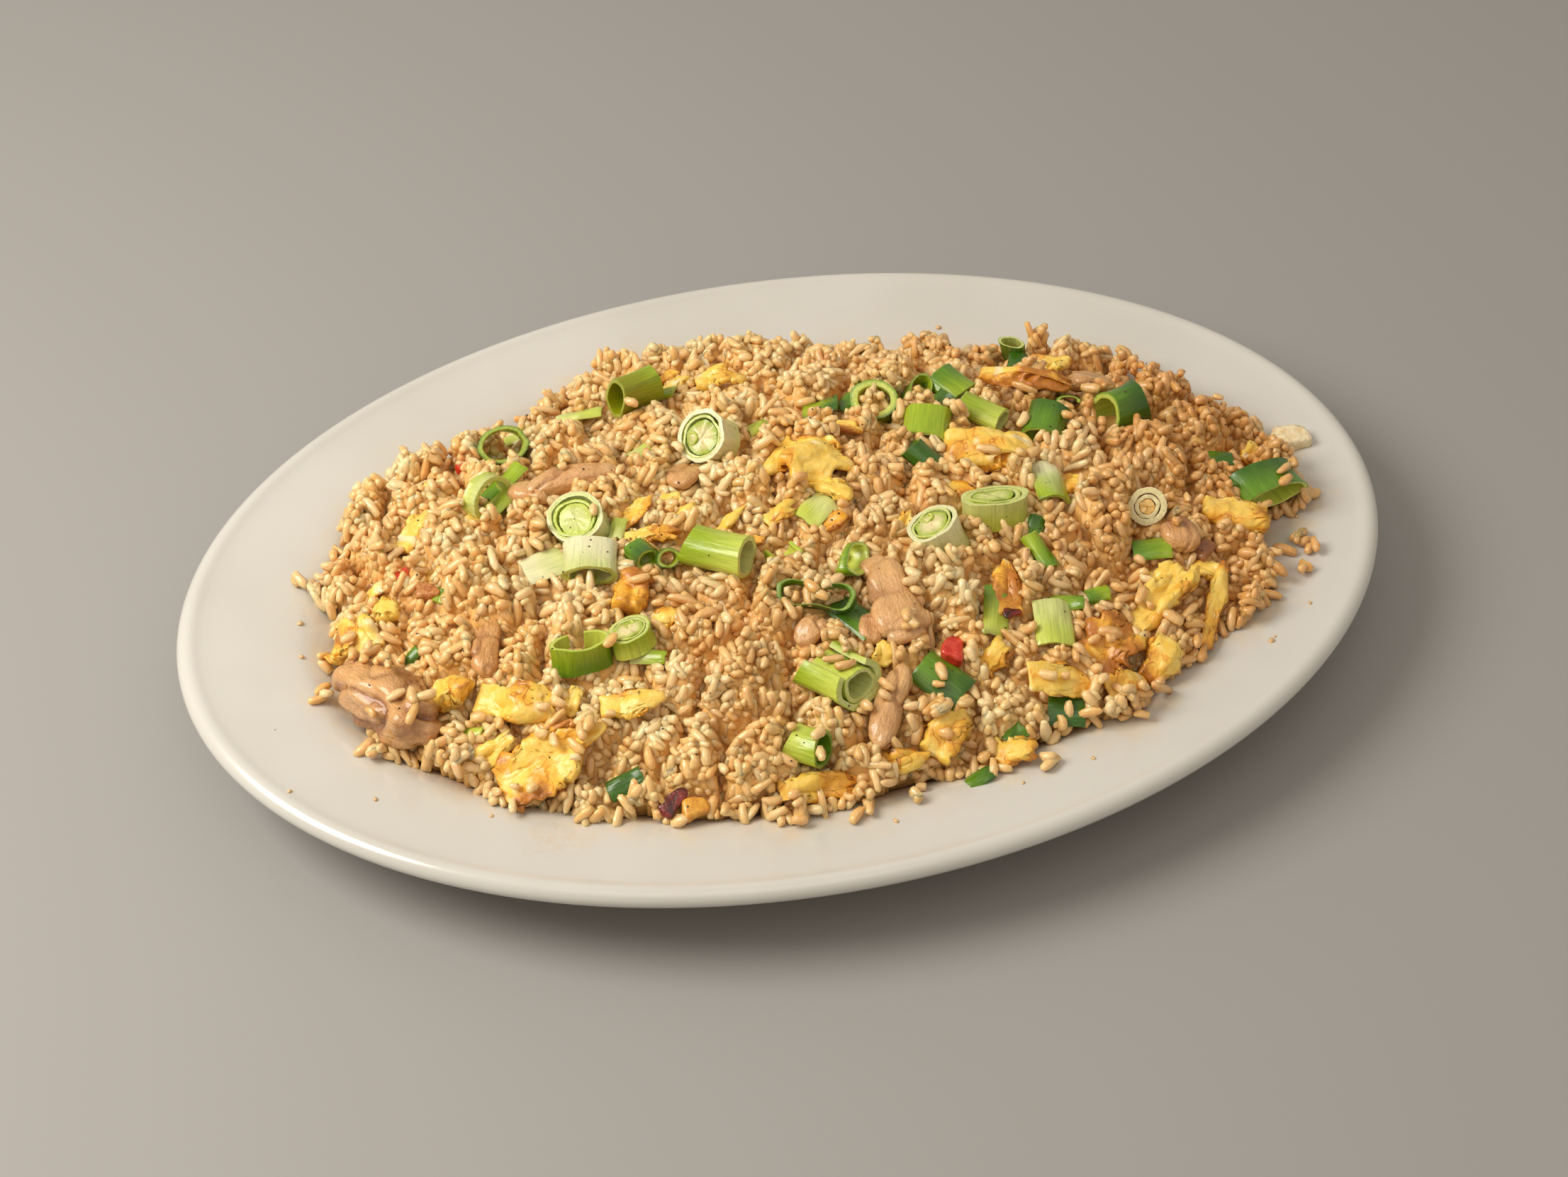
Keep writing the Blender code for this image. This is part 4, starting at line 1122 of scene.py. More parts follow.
# Smaller leaves and bits: x, y, rise, length, width, turn, pitch, colour, colour at the far end.
SMALL_LEAVES = [
    (19.5, 34.4, 1.2, 10, 7, -20, 20, "bright dark"),
    (2, -44, 0.8, 14, 8, -66, 8, "dark green"),
    (44.5, -78, 0.8, 9, 7, -20, 12, "dark dark"),
    (37, -49.5, 0.6, 14, 6.5, 70, 8, "lime green"),
    (-65.5, -0.8, 1.2, 11, 10, 8, -6, "white pale"),
    (-56, 63, 1.0, 9, 6, -12, 5, "lime pale"),
    (-67, 35, 1.6, 13, 5.5, 28, 12, "green bright"),
    (-70, 28, 0.8, 13, 6, 26, 8, "bright lime"),
    (56, -27, 1.0, 7, 4, 55, 20, "green dark"),
    (81, 46, 1.0, 7, 5, 60, 20, "dark dark"),
    (117, -8, 0.8, 7, 6, -20, 15, "green dark"),
    (84, -38, 0.5, 10, 6, -10, 10, "green bright"),
    (-64, -68, 0.6, 9, 5, 10, 10, "dark dark"),
    (-95, -42, 0.4, 6, 3.5, -20, 10, "bright lime"),
    (-49.5, -39, 0.8, 9, 3.5, -30, 15, "pale bright"),
    (4.5, -6.5, 0.8, 9, 8, 30, 12, "lime pale"),
    (1, 31, 0.6, 6, 4, 10, 10, "lime bright"),
    (-17, 58, 0.5, 7, 5, -30, 10, "green bright"),
    (18, -89, 0.6, 7, 4, 10, 10, "green dark"),
    (30, -81, 0.5, 6, 4, 30, 10, "dark green"),
    (55, -51, 0.8, 9, 4, -22, 20, "bright green"),
    (27, 34, 1.0, 8, 5, 40, 10, "dark green"),
    (-45, 4, 0.5, 7, 4, 60, 5, "pale lime"),
    (9, -1.5, 0.4, 9, 5, 10, 5, "lime bright"),
    (-31, 33, 0.3, 6, 4, 10, 10, "pale lime"),
    (-92, 2, 0.4, 4, 3, 50, 10, "bright green"),
    (-82, -6, 0.5, 5, 3, 80, 10, "green bright"),
    (-103, -13, 0.4, 5, 3, 20, 10, "dark green"),
    (72, 2, 0.5, 5, 4, -40, 10, "bright lime"),
    (64, -50, 0.3, 6, 4, 0, 10, "green bright"),
]
STEM_ROWS = 8
RIBS = 23
RIB_DEPTH = 0.05


def leaf_colours(words):
    return [np.array(LEAF[word]) for word in words.split()]


def stem_axes(azimuth, elevation):
    """Rows are the stem's flat, wide and long directions."""
    turn = Matrix.Rotation(math.radians(azimuth), 3, "Z")
    lean = Matrix.Rotation(math.radians(90 - elevation), 3, "Y")
    return np.array((turn @ lean).transposed())


def sleeve(radius, length, flatness, wall, sweep, waist, slant, colours, seed, shift=(0.0, 0.0)):
    """One leaf of a stem, a tube with a cut face at each end: points, faces and tint."""
    whole = sweep == 360
    sides = 56 if whole else 40
    angle = math.tau * np.arange(sides) / sides
    if not whole:
        arc = math.radians(abs(sweep)) * (np.arange(sides) / (sides - 1) - 0.5)
        angle = arc if sweep < 0 else math.pi + arc
    level = np.linspace(-1, 1, STEM_ROWS)
    thickness = np.concatenate((np.zeros(STEM_ROWS), [0.5], np.ones(STEM_ROWS), [0.5]))
    height = np.concatenate((level, [1.0], level[::-1], [-1.0]))
    phi, share = np.meshgrid(angle, thickness, indexing="ij")
    _, rise = np.meshgrid(angle, height, indexing="ij")
    around = np.stack((np.cos(phi), np.sin(phi), 0.35 * rise), axis=-1)
    uneven = 1 + 0.07 * noise_at(around, 0.9, seed) + 0.03 * noise_at(around, 0.35, seed + 1)
    uneven += (0.014 * np.cos(5 * phi + seed) + 0.008 * np.cos(8 * phi - seed)) * (1 - 0.5 * share)
    outward = (radius - share * wall) * uneven + RIB_DEPTH * np.cos(RIBS * phi) * (1 - 0.6 * share)
    outward = outward * (1 + 0.05 * rise ** 2)
    narrow = 1 - waist * np.cos(phi) ** 4
    a = outward * flatness * narrow * np.cos(phi) + shift[0] * radius
    b = outward * np.sin(phi) + shift[1] * radius
    rag = 0.35 * noise_at(around[..., :2], 0.7, seed + 2)
    lip = np.where((share > 0.4) & (share < 0.6), 0.12, 0.0)
    s = rise * (length / 2 + rag + lip) + slant * a * rise
    s = s - 0.03 * length * np.cos(phi) * rise * rise
    points = np.stack((a, b, s), axis=-1)
    near, far, inner = leaf_colours(colours)
    toward_far = ease(-1, 1, rise + 0.6 * noise_at(around, 1.2, seed + 3))[..., None]
    outer_tint = near * (1 - toward_far) + far * toward_far
    cut_tint = 0.65 * inner + 0.35 * np.array(LEAF["pale"])
    depth = share[..., None]
    tint = np.where(depth < 0.4, outer_tint, np.where(depth < 0.6, cut_tint, inner))
    columns = 2 * STEM_ROWS + 2
    blocks = [grid_faces(sides, columns, whole, True)]
    if not whole:
        k = np.arange(STEM_ROWS - 1)
        cap = np.stack((k, k + 1, 2 * STEM_ROWS - k - 1, 2 * STEM_ROWS - k), axis=1)
        near_end = (0, 2 * STEM_ROWS, 2 * STEM_ROWS + 1)
        ends = np.array(((STEM_ROWS - 1, STEM_ROWS, STEM_ROWS + 1), near_end))
        last = (sides - 1) * columns
        blocks += [cap, ends, cap[:, ::-1] + last, ends[:, ::-1] + last]
    return points.reshape(-1, 3), blocks, tint.reshape(-1, 3)


def add_stem(build, place, form, seed, centred=False):
    """A cut stem and the leaves inside it, at a place. Centred, its box's middle comes there."""
    diameter, length, flatness, wall, azimuth, elevation, colours, inside, sweep, waist, slant = form
    axes = stem_axes(azimuth, elevation)
    radius = diameter / 2
    parts = [sleeve(radius, length, flatness, wall, sweep, waist, slant, colours, seed)]
    for number, (size, thick, shift_a, shift_b, share, pair) in enumerate(INSIDES[inside]):
        outer, lining = pair.split()
        parts.append(sleeve(
            radius * size, length * share, flatness, radius * thick, 360, waist, slant,
            f"{outer} {outer} {lining}", seed + 10 + number, (shift_a * flatness / size, shift_b / size),
        ))
    if centred:
        world = parts[0][0] @ axes
        place = place - (world.max(0) + world.min(0)) / 2
    for points, blocks, tint in parts:
        build.add(place + points @ axes, blocks, tint, points)


def add_leaf(build, middle, axes, size, thickness, arch, colours, seed, rows=18, columns=14):
    """A flat cut of leaf, arched across, with veins along it."""
    length, width = size
    u, v = np.meshgrid(np.linspace(-1, 1, rows), np.linspace(-1, 1, columns), indexing="ij")
    flat = np.stack((u, v), axis=-1)
    along = u * length / 2 + 0.3 * noise_at(flat, 0.5, seed)
    across = v * width / 2 * (1 + 0.06 * noise_at(flat, 0.9, seed + 1))
    rise = arch * (0.5 - v * v) + 0.5 * noise_at(flat, 0.8, seed + 2) + RIB_DEPTH * np.cos(15 * v)
    sheet = np.stack((along, across, rise), axis=-1)
    half = 0.5 * thickness * (0.6 + 0.4 * np.sqrt(1 - np.maximum(np.abs(u), np.abs(v)) ** 8))
    normal = surface_normals(sheet)
    offset = normal * half[..., None]
    points = np.concatenate(((sheet + offset).reshape(-1, 3), (sheet - offset).reshape(-1, 3)))
    near, far = leaf_colours(colours)
    toward_far = ease(-1, 1, u + 0.5 * noise_at(flat, 0.9, seed + 3)).reshape(-1, 1)
    top = near * (1 - toward_far) + far * toward_far
    under = 0.6 * top + 0.4 * np.array(LEAF["pale"])
    tint = np.concatenate((top, under))
    build.add(middle + points @ axes, skin_faces(rows, columns), tint, points[:, [1, 2, 0]])


def make_scallion(material):
    for name, form in STEM_FORMS.items():
        low, high = [np.array(corner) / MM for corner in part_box(name)]
        build = Build()
        middle = (low + high) / 2 + (0, 0, RISES.get(name, 0))
        add_stem(build, middle, form, seed_of(name, 71), True)
        add_look(name, build.mesh(name + "_look", 40), material)
    for name, (thickness, arch, colours) in LEAF_FORMS.items():
        middle, axes, size = node_frame(name)
        build = Build()
        add_leaf(build, middle, axes, size[:2], thickness, arch, colours, seed_of(name, 71), 30, 22)
        add_look(name, build.mesh(name + "_look", 40), material)
    build = Build()
    for index, (x, y, rise, form) in enumerate(SMALL_STEMS):
        add_stem(build, heap_point(x, y, rise), form, 300 + index)
    for index, (x, y, rise, length, width, turn, pitch, colours) in enumerate(SMALL_LEAVES):
        axes = heap_axes(x, y, turn, pitch)
        add_leaf(build, heap_point(x, y, rise), axes, (length, width), 0.9, 0.8, colours, 400 + index)
    mesh = build.mesh("scallion_small", 40)
    add_topping("scallion_small", mesh, material, "scallion_green")


# ---------------------------------------------------------------- bits
# Pepper, chilli and crisp bits: material, x, y, rise, length, width, height, turn.
BITS = [
    ("red", 22, -58.6, 1.4, 7.5, 6, 4.5, 60), ("red", -99, 13.3, 1.2, 5.5, 4, 4, 70),
    ("red", -74, 50, 0.8, 5, 4, 3, 10), ("burnt", -54.6, -76, 1.8, 8.5, 4.5, 1.2, 35),
    ("gold", -50, -78.5, 1.2, 7, 5.5, 4, 0), ("burnt", 40, -52, 2.2, 5, 3, 1.2, 0),
    ("brown", 87.5, -26, 1.6, 2.4, 2, 1.6, 0), ("brown", -94.5, 4, 1.2, 6.5, 5, 4, -20),
    ("garlic", 142, -1, 1.6, 11, 8.5, 5.0, -10),
]


def make_bits():
    looks = {
        "red": plain_material("red_pepper", (0.55, 0.025, 0.012), (0.70, 0.08, 0.04), 2.2, 0.22, 0.2),
        "burnt": plain_material(
            "burnt_chilli", (0.045, 0.008, 0.006), (0.22, 0.02, 0.008), 1.6, 0.25, 0.3,
        ),
        "gold": plain_material("corn_kernel", (0.80, 0.42, 0.05), (0.62, 0.25, 0.03), 2.0, 0.3, 0.2),
        "garlic": plain_material("garlic_piece", (0.78, 0.60, 0.32), (0.88, 0.76, 0.50), 2.2, 0.3, 0.7),
        "brown": plain_material("crisp_crumb", (0.40, 0.13, 0.03), (0.62, 0.28, 0.08), 1.0, 0.5, 0.3),
    }
    for kind, look in looks.items():
        build = Build()
        rows = [row for row in BITS if row[0] == kind]
        for index, (_, x, y, rise, length, width, height, turn) in enumerate(rows):
            size = (length, width, height)
            form = meat_chunk(size, 0.6, 0.25, 0.15, 0, 0, 0, 500 + index, 22, 24, 7.0)
            lay(build, (x, y, rise), turn, form)
        add_topping("bits_" + kind, build.mesh("bits_" + kind), look, "chicken")


# ---------------------------------------------------------------- rice
def grain_form(kind, rng):
    """One grain's shape in a box from -1 to 1, drawn out along x."""
    _, _, _, bluntness, cut = GRAIN_KINDS[kind]
    place = -np.cos(math.pi * (np.arange(GRAIN_RINGS) + 1) / (GRAIN_RINGS + 1)) * 1.04
    widest = rng.uniform(-0.4, 0.4)
    skewed = (place - widest) / np.where(place > widest, 1 - widest, 1 + widest)
    blunt = bluntness * rng.uniform(0.7, 1.4)
    radius = (1 - np.clip(np.abs(skewed), 0, 0.985) ** blunt) ** 0.5
    if cut:
        radius = np.maximum(radius, np.where(place > 0.3, rng.uniform(0.6, 0.9), 0.0))
    angle = math.tau * np.arange(GRAIN_SIDES) / GRAIN_SIDES + rng.uniform(0, 1)
    t, phi = np.meshgrid(place, angle, indexing="ij")
    waist = 1 - rng.uniform(0, 0.22) * np.exp(-((place - rng.uniform(-0.5, 0.5)) / 0.3) ** 2)
    oval = 0.10 * np.cos(2 * phi + rng.uniform(0, 6)) + 0.07 * np.cos(3 * phi + rng.uniform(0, 6))
    radii = (radius * waist)[:, None] * (1 + oval + rng.normal(0, 0.07, t.shape))
    shape = np.stack((t, radii * np.cos(phi), radii * np.sin(phi)), axis=-1).reshape(-1, 3)
    far_end = 0.97 if cut else 1.0
    ends = rng.normal(0, 0.16, (2, 2))
    shape = np.concatenate(([(-1, *ends[0])], shape, [(far_end, *ends[1])]))
    bend = rng.uniform(0.0, 0.5)
    twist = rng.uniform(-0.25, 0.25)
    shape[:, 1] += bend * (shape[:, 0] ** 2 - 0.4)
    shape[:, 2] += twist * shape[:, 0] ** 3
    return shape


class Rice:
    """Places grains one by one, each taking up room that the others leave."""

    def __init__(self, target, floor, covered, rng):
        self.target = target
        self.floor = floor
        self.covered = covered
        self.rng = rng
        self.filled = np.full(ALL_X.shape, NOTHING)
        self.rows = []
        self.tops = []
        smooth = sum(np.roll(target, shift, axis) for shift in (-4, -2, 0, 2, 4) for axis in (0, 1)) / 10
        self.slopes = np.gradient(smooth, CELL)

    def place(self, x, y, kind, tilt, lift, shared, level=None, may_cover=0.28):
        """Try one grain whose top is `lift` over the rice, or over `level`; True if there is room."""
        rng = self.rng
        _, lengths, widths, _, _ = GRAIN_KINDS[kind]
        half_long = rng.uniform(*lengths) / 2
        half_wide = rng.uniform(*widths) / 2
        i, j = cell_of(x, y)
        reach = int(half_long / CELL) + 3
        if min(i, j) < reach or i + reach >= len(MAP_X) or j + reach >= len(MAP_Y):
            return False
        slopes = (self.slopes[0][i, j], self.slopes[1][i, j]) if level is None else (0.0, 0.0)
        normal = np.array((-slopes[0], -slopes[1], 1.0))
        normal = normal / np.linalg.norm(normal)
        yaw = rng.uniform(0, math.tau)
        tangent = np.cross(normal, (math.sin(yaw), -math.cos(yaw), 0))
        tangent = tangent / np.linalg.norm(tangent)
        heading = math.cos(tilt) * tangent + math.sin(tilt) * normal
        support = math.hypot(half_long * math.sin(tilt), half_wide * math.cos(tilt))
        base = self.target[i, j] if level is None else level
        centre = np.array((x, y, base)) + normal * (lift - support)
        flat = math.hypot(heading[0], heading[1])
        depth = math.hypot(half_long * heading[2], half_wide * flat)
        centre[2] = max(centre[2], self.floor[cell_of(centre[0], centre[1])] + depth)
        reach_long = math.hypot(half_long * flat, half_wide * heading[2])
        window = (slice(i - reach, i + reach + 1), slice(j - reach, j + reach + 1))
        from_x, from_y = ALL_X[window] - centre[0], ALL_Y[window] - centre[1]
        along = (from_x * heading[0] + from_y * heading[1]) / max(flat, 1e-6)
        across = (from_y * heading[0] - from_x * heading[1]) / max(flat, 1e-6)
        space = 1 - (along / reach_long) ** 2 - (across / half_wide) ** 2
        inside = space > 0
        shear = (half_long ** 2 - half_wide ** 2) * flat * heading[2] / reach_long ** 2
        bulge = half_long * half_wide / reach_long * np.sqrt(np.clip(space, 0, 1))
        top = centre[2] + shear * along + bulge
        if level is None:
            inside &= top > self.target[window] - FILL_DEPTH
        if not inside.any():
            return False
        taken = self.filled[window][inside] > top[inside] - OVERLAP
        if taken.mean() > shared or self.covered[window][inside].mean() > may_cover:
            return False
        self.filled[window] = np.where(inside, np.maximum(self.filled[window], top), self.filled[window])
        self.rows.append((kind, *centre, *heading, half_long, half_wide))
        self.tops.append((window, inside, top))
        return True

    def keep_seen(self):
        """Forget the grains that others cover completely, except near the heap's edge."""
        inner = ~grown(~on_heap, EDGE_CELLS)
        rows = []
        for row, (window, inside, top) in zip(self.rows, self.tops):
            shown = (self.filled[window][inside] < top[inside] + 0.1).mean()
            if shown > SEEN_SHARE or not inner[cell_of(row[1], row[2])]:
                rows.append(row)
        self.rows = rows

    def fill(self, depth, uneven, stand, shared, batch=600, most_tries=4):
        """Place a layer of grains at bare places until there is no more room."""
        rng = self.rng
        kinds = list(GRAIN_KINDS)
        shares = [GRAIN_KINDS[kind][0] for kind in kinds]
        tries = np.full(ALL_X.shape, most_tries)
        thin = self.target - self.floor < THIN_RICE
        while True:
            low = self.filled < self.target - depth - BARE_DEPTH
            bare = on_heap & ~self.covered & (tries > 0) & low
            cells = np.flatnonzero(bare)
            if not len(cells):
                break
            picks = rng.choice(cells, min(batch, len(cells)))
            for pick, kind in zip(picks, rng.choice(kinds, batch, p=shares)):
                i, j = divmod(int(pick), len(MAP_Y))
                if self.filled[i, j] > self.target[i, j] - depth - BARE_DEPTH or not tries[i, j]:
                    continue
                shift = rng.uniform(-0.5, 0.5, 2) * CELL
                steep = rng.uniform() < stand and not thin[i, j]
                tilt = math.radians(rng.uniform(30, 85) if steep else abs(rng.normal(0, 13)))
                lift = rng.uniform(-uneven, uneven) - depth
                if not self.place(MAP_X[i] + shift[0], MAP_Y[j] + shift[1], kind, tilt, lift, shared):
                    near = (slice(i - 1, i + 2), slice(j - 1, j + 2))
                    tries[near] = np.maximum(tries[near] - 1, 0)

    def strew(self, x, y, kind, surface):
        """Lay one loose grain flat on whatever is at a place."""
        i, j = cell_of(x, y)
        near = (slice(max(i - 2, 0), i + 3), slice(max(j - 2, 0), j + 3))
        base = surface[near].max()
        level = max(base - 0.4, min(self.filled[near].max() - 0.8, base + 1.2))
        tilt = math.radians(self.rng.normal(0, 8))
        self.place(x, y, kind, tilt, 2.4, 1.0, level, 1.0)


LOOSE_ON_HEAP = 110           # single grains that lie flat on the rice
PEPPER_SPECKS = 260

# Grains that lie on toppings and on the rim: x, y, how far they spread, how many.
ON_TOPPINGS = [
    (-112, -16, 6, 9), (-108, -33, 4, 4), (-8, -58, 5, 6), (126, -23, 4, 2), (-6, -38, 5, 3),
    (13, -76, 5, 8), (18, -42, 4, 3), (12, -52, 4, 4), (-73, -58, 8, 6), (-80, -52, 5, 4),
    (62, -63, 5, 3), (-48, -20, 4, 1), (-115, -1, 4, 2), (74, -54, 5, 2), (2, -70, 6, 3),
    (-54, 26, 4, 1), (44, -73, 5, 2), (33, 28, 2, 1), (92, -34, 3, 1), (-52, 8, 2, 1), (55, 2, 6, 1),
    (-85, -22, 4, 1), (16, -66, 4, 2), (-18, -80, 6, 2),
]
ON_RIM = [
    (-121, 27, 4, 7), (-125, -12, 3, 3), (126, -38, 6, 7), (120, -46, 4, 3), (34, -91, 2, 1),
    (2, -91, 3, 3), (-14, -92, 1, 1), (36, -89, 2, 1), (-30, -90, 5, 3), (-118, -33, 4, 4),
    (60, -84, 4, 2), (-90, -62, 4, 3),
]


def pour_rice():
    """All the grains: stuck together in the heap, and loose on the toppings and the rim."""
    rng = seeded("rice")
    piece_top = top_of(tree_of([piece.data for piece in toppings]), grown(on_heap, 8) & on_plate)
    piece_under = top_of(tree_of([piece.data for piece in toppings]), piece_top > NOTHING, True)
    calm = sum(grown(piece_top > heap_top - 3, cells).astype(float) for cells in (0, 2, 4)) / 3
    target = heap_top + heap_relief() * (1 - 0.65 * calm)
    target = np.where(on_heap, np.maximum(target, glaze + EDGE_HEIGHT), glaze)
    rice = Rice(target, glaze, (piece_top > target - 0.8) & (piece_under < target + 0.2), rng)
    rice.core_top = np.where(on_heap, np.maximum(target - FILL_DEPTH, glaze), glaze)
    for layer in LAYERS:
        rice.fill(*layer)
    rice.keep_seen()
    surface = np.maximum(piece_top, rice.core_top)
    for places in (ON_TOPPINGS, ON_RIM):
        for x, y, spread, count in places:
            for kind in rng.choice(["plump", "middling", "short", "broken"], count):
                shift = rng.normal(0, 0.5, 2) * spread
                rice.strew(x + shift[0], y + shift[1], kind, surface)
    spots = np.argwhere(on_heap & (piece_top < target - 0.8))
    for i, j in spots[rng.choice(len(spots), LOOSE_ON_HEAP)]:
        rice.strew(MAP_X[i], MAP_Y[j], str(rng.choice(["middling", "short", "broken"])), surface)
    rice.surface = np.maximum(surface, rice.filled)
    return rice


def make_grains(rice, material):
    rng = seeded("grain shapes")
    for kind in GRAIN_KINDS:
        forms = np.array([grain_form(kind, rng) for _ in range(GRAIN_FORMS)])
        rows = np.array([row[1:] for row in rice.rows if row[0] == kind])
        x, y, z = rows[:, :3].T
        forward = rows[:, 3:6]
        half_long, half_wide = rows[:, 6], rows[:, 7]
        count = len(rows)
        half_thick = half_wide * rng.uniform(0.82, 1.0, count)
        side = np.cross(forward, rng.normal(0, 1, (count, 3)))
        side = side / np.linalg.norm(side, axis=1, keepdims=True)
        up = np.cross(forward, side)
        local = forms[rng.integers(0, GRAIN_FORMS, count)]
        local = local * np.stack((half_long, half_wide, half_thick), 1)[:, None]
        points = np.stack((x, y, z), 1)[:, None]
        for axis, direction in enumerate((forward, side, up)):
            points = points + local[..., axis:axis + 1] * direction[:, None]
        sizes = forms.shape[1]
        shift = (np.arange(count) * sizes)[:, None, None]
        faces = ball_faces(GRAIN_RINGS, GRAIN_SIDES)
        blocks = [(block[None] + shift).reshape(-1, block.shape[1]) for block in faces]
        places = np.stack((x, y), 1)
        patch = noise_at(places, 22.0, 31.0)
        chalky = 0.55 * ease(0.15, 0.55, noise_at(places, 9.0, 33.0))
        pale = 0.38 + 0.17 * rng.normal(0, 1, count) + chalky
        pale = np.where(rng.uniform(0, 1, count) < 0.06, 0.95, pale)
        # Painted shade: grains sunk deeper under the rice's top get browner, standing in for the shade in
        # the gaps; the patches and the random part are the sauce itself, and the rice gets browner
        # towards +x.
        gap_shade = ease(0.5, 3.5, rice.target[cells_of(x, y)] - z - half_wide)
        sauce_and_shade = 0.12 + 0.32 * gap_shade + 0.34 * patch + 0.13 * rng.normal(0, 1, count)
        sauce_and_shade = sauce_and_shade + 0.50 * ease(*BROWNER_SIDE, x)
        tint = np.clip(np.stack((pale, sauce_and_shade, rng.uniform(0, 1, count)), 1), 0, 1)
        tint = np.repeat(tint, sizes, axis=0)
        local_points = (local + 37.0 * rng.uniform(0, 1, (count, 1, 3))).reshape(-1, 3)
        layers = {"tint": tint, "local": local_points}
        mesh = build_mesh("rice_" + kind, points.reshape(-1, 3), blocks, layers)
        side_count = math.ceil(math.sqrt(count))
        cell = np.stack(divmod(np.arange(count), side_count), axis=1)[:, None]
        spread = local[..., :2] / np.abs(local[..., :2]).max(axis=1, keepdims=True)
        add_bake_map(mesh, ((cell + 0.5 + 0.36 * spread) / side_count).reshape(-1, 2))
        add_piece("rice_" + kind, mesh, material, "rice")


def make_core(material, rice):
    """The rest of the heap, stuck together under the loose grains, with relief as big as grains."""
    step = int(round(CORE_CELL / CELL))
    inner = ~grown(~on_heap, 4)
    solid = inner[:-step:step, :-step:step]
    solid = solid & inner[step::step, :-step:step]
    solid = solid & inner[:-step:step, step::step] & inner[step::step, step::step]
    rows, columns = inner[::step, ::step].shape
    i, j = np.nonzero(solid)
    corner = i * columns + j
    top = np.stack((corner, corner + columns, corner + columns + 1, corner + 1), axis=1)
    below = rows * columns
    blocks = [top, top[:, ::-1] + below]
    edges = np.concatenate([top[:, [side, (side + 1) % 4]] for side in range(4)])
    known = {(first, last) for first, last in edges.tolist()}
    border = np.array([(first, last) for first, last in sorted(known) if (last, first) not in known])
    first, last = border[:, 0], border[:, 1]
    blocks.append(np.stack((last, first, first + below, last + below), axis=1))
    x, y = ALL_X[::step, ::step], ALL_Y[::step, ::step]
    relief = 0.35 * noise_at(np.stack((x, y), -1), 2.4, 41.0)
    floor = glaze[::step, ::step] + 0.3
    upper = np.stack((x, y, np.maximum(rice.core_top[::step, ::step] + relief, floor + 0.3)), -1)
    points = np.concatenate((upper.reshape(-1, 3), np.stack((x, y, floor), -1).reshape(-1, 3)))
    used = np.unique(np.concatenate([block.ravel() for block in blocks]))
    number = np.zeros(len(points), int)
    number[used] = np.arange(len(used))
    points = points[used]
    blocks = [number[block] for block in blocks]
    mesh = build_mesh("rice_core", points, blocks, {"local": points})
    add_piece("rice_core", mesh, material, "rice", ["rice_heap"])


def make_specks(surface):
    """Ground pepper on the rice, and crumbs that fell on the rim."""
    rng = seeded("specks")
    pepper = plain_material("black_pepper", (0.035, 0.022, 0.015), (0.10, 0.06, 0.03), 0.3, 0.5, 0.05)
    crumb = plain_material("rice_crumb", (0.62, 0.36, 0.14), (0.78, 0.55, 0.28), 0.8, 0.4, 0.15)
    spots = np.argwhere(on_heap)
    rows = [(MAP_X[i], MAP_Y[j]) for i, j in spots[rng.choice(len(spots), PEPPER_SPECKS)]]
    for name, look, places, sizes in (
        ("pepper_specks", pepper, rows, (0.3, 0.7)),
        ("rim_crumbs", crumb, RIM_CRUMBS, (0.8, 1.8)),
    ):
        build = Build()
        for index, (x, y) in enumerate(places):
            size = rng.uniform(*sizes) * np.array((1, rng.uniform(0.6, 1), 0.6))
            i, j = cell_of(x, y)
            shape, faces, tint = meat_chunk(size, 0.05, 0.1, 0.0, 0, 0, 0, index, 3, 6)
            turn = rng.uniform(0, math.tau)
            cos, sin = math.cos(turn), math.sin(turn)
            axes = np.array(((cos, sin, 0), (-sin, cos, 0), (0, 0, 1)))
            place = np.array((x, y, surface[i, j] + 0.2 * size[2]))
            build.add(place + shape @ axes, faces, tint, shape + index)
        add_piece(name, build.mesh(name), look, "rice")


RIM_CRUMBS = [
    (104, -69), (105.5, -68), (27, -94), (119, -60), (-140, -44), (-121, -51), (134, -22), (131, -28),
    (-128, 4), (-126, 16), (46, -92), (-6, -96), (-96, -64), (108, 42), (-106, 50), (6, 92), (70, 78),
    (124, 30),
]


# ---------------------------------------------------------------- light and camera
CAMERA_TARGET = (1.43, 10.35, 0.0)
CAMERA_DISTANCE = 758.3
CAMERA_AZIMUTH = -18.33       # 0 looks along +Y
CAMERA_ELEVATION = 43.2
LENS = 65.1
SENSOR_WIDTH = 36.0
FLOOR_HALF = 3000.0
ROOM_STRENGTH = 0.5

# Lamps, turned to the dish: name, azimuth, elevation, distance and size in metres, watts, colour.
LAMPS = [
    ("key", -98, 47, 0.85, 0.5, 6.2, (1.0, 0.95, 0.88)),
    ("fill", -10, 62, 1.3, 0.9, 1.6, (1.0, 0.93, 0.85)),
]


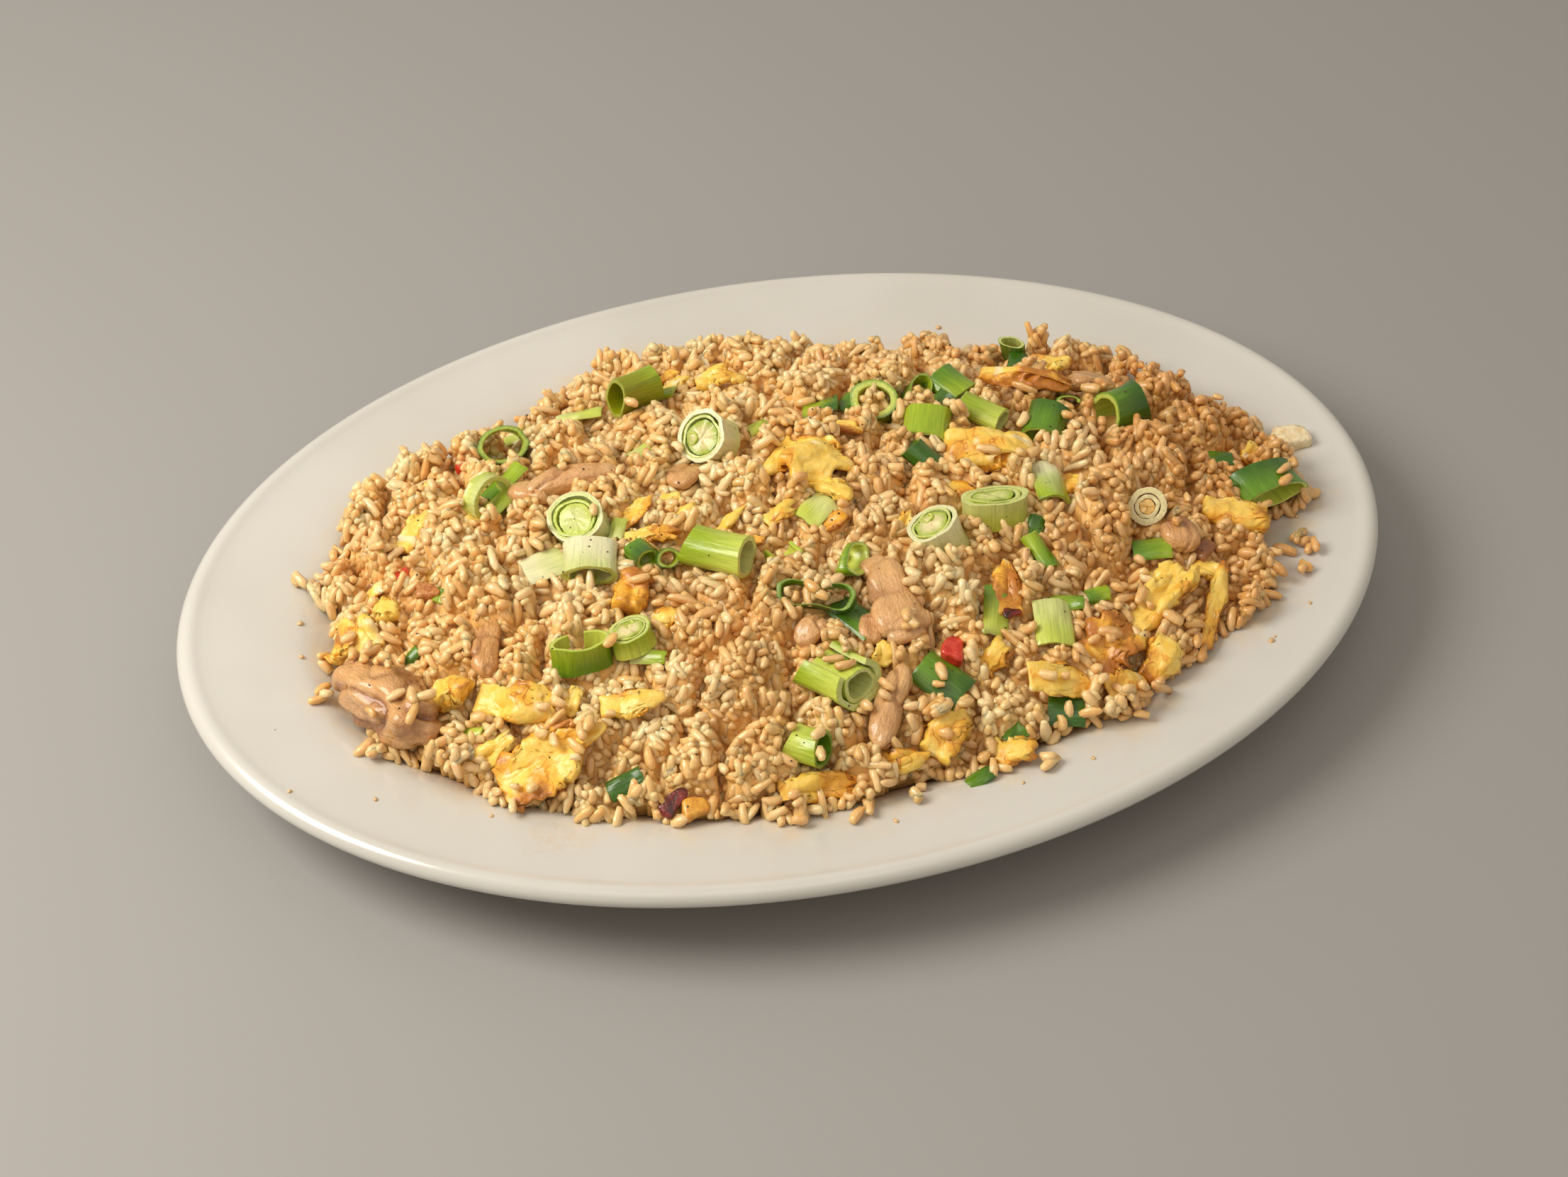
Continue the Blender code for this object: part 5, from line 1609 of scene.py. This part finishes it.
def direction(azimuth, elevation):
    """Unit vector from the dish toward a place seen at this azimuth and elevation."""
    turn, rise = math.radians(azimuth), math.radians(elevation)
    return Vector((math.sin(turn) * math.cos(rise), -math.cos(turn) * math.cos(rise), math.sin(rise)))


def add_camera():
    data = bpy.data.cameras.new("camera")
    data.lens = LENS
    data.sensor_width = SENSOR_WIDTH
    data.clip_start = 0.01
    camera = bpy.data.objects.new("camera", data)
    bpy.context.scene.collection.objects.link(camera)
    toward = direction(CAMERA_AZIMUTH, CAMERA_ELEVATION)
    camera.location = (Vector(CAMERA_TARGET) + toward * CAMERA_DISTANCE) * MM
    camera.rotation_euler = (-toward).to_track_quat("-Z", "Y").to_euler()
    bpy.context.scene.camera = camera


def add_area(name, azimuth, elevation, distance, size, watts, colour):
    data = bpy.data.lights.new(name, "AREA")
    data.shape = "DISK"
    data.size = size
    data.energy = watts
    data.color = colour
    lamp = bpy.data.objects.new(name, data)
    bpy.context.scene.collection.objects.link(lamp)
    toward = direction(azimuth, elevation)
    lamp.location = toward * distance
    lamp.rotation_euler = (-toward).to_track_quat("-Z", "Y").to_euler()


def add_stage():
    points = np.array([(x, y, 0.0) for x, y in ((-1, -1), (1, -1), (1, 1), (-1, 1))]) * FLOOR_HALF
    mesh = build_mesh("floor", points, [np.array([(0, 1, 2, 3)])])
    material, _, _ = new_material("floor", Roughness=0.6, Base_Color=(*FLOOR_GREY, 1))
    mesh.materials.append(material)
    floor = bpy.data.objects.new("floor", mesh)
    bpy.context.scene.collection.objects.link(floor)
    world = bpy.data.worlds.new("studio")
    world.use_nodes = True
    background = world.node_tree.nodes["Background"]
    background.inputs["Color"].default_value = (*ROOM_WARM, 1)
    background.inputs["Strength"].default_value = ROOM_STRENGTH
    bpy.context.scene.world = world
    for lamp in LAMPS:
        add_area(*lamp)
    bpy.context.scene.view_settings.view_transform = "Standard"


# ---------------------------------------------------------------- the dish
toppings = []
make_plate(glaze_material())
make_egg(egg_material())
make_chicken(chicken_material())
make_scallion(scallion_material())
make_bits()
poured = pour_rice()
make_core(core_material(), poured)
make_grains(poured, rice_material())
make_specks(poured.surface)
add_stage()
add_camera()
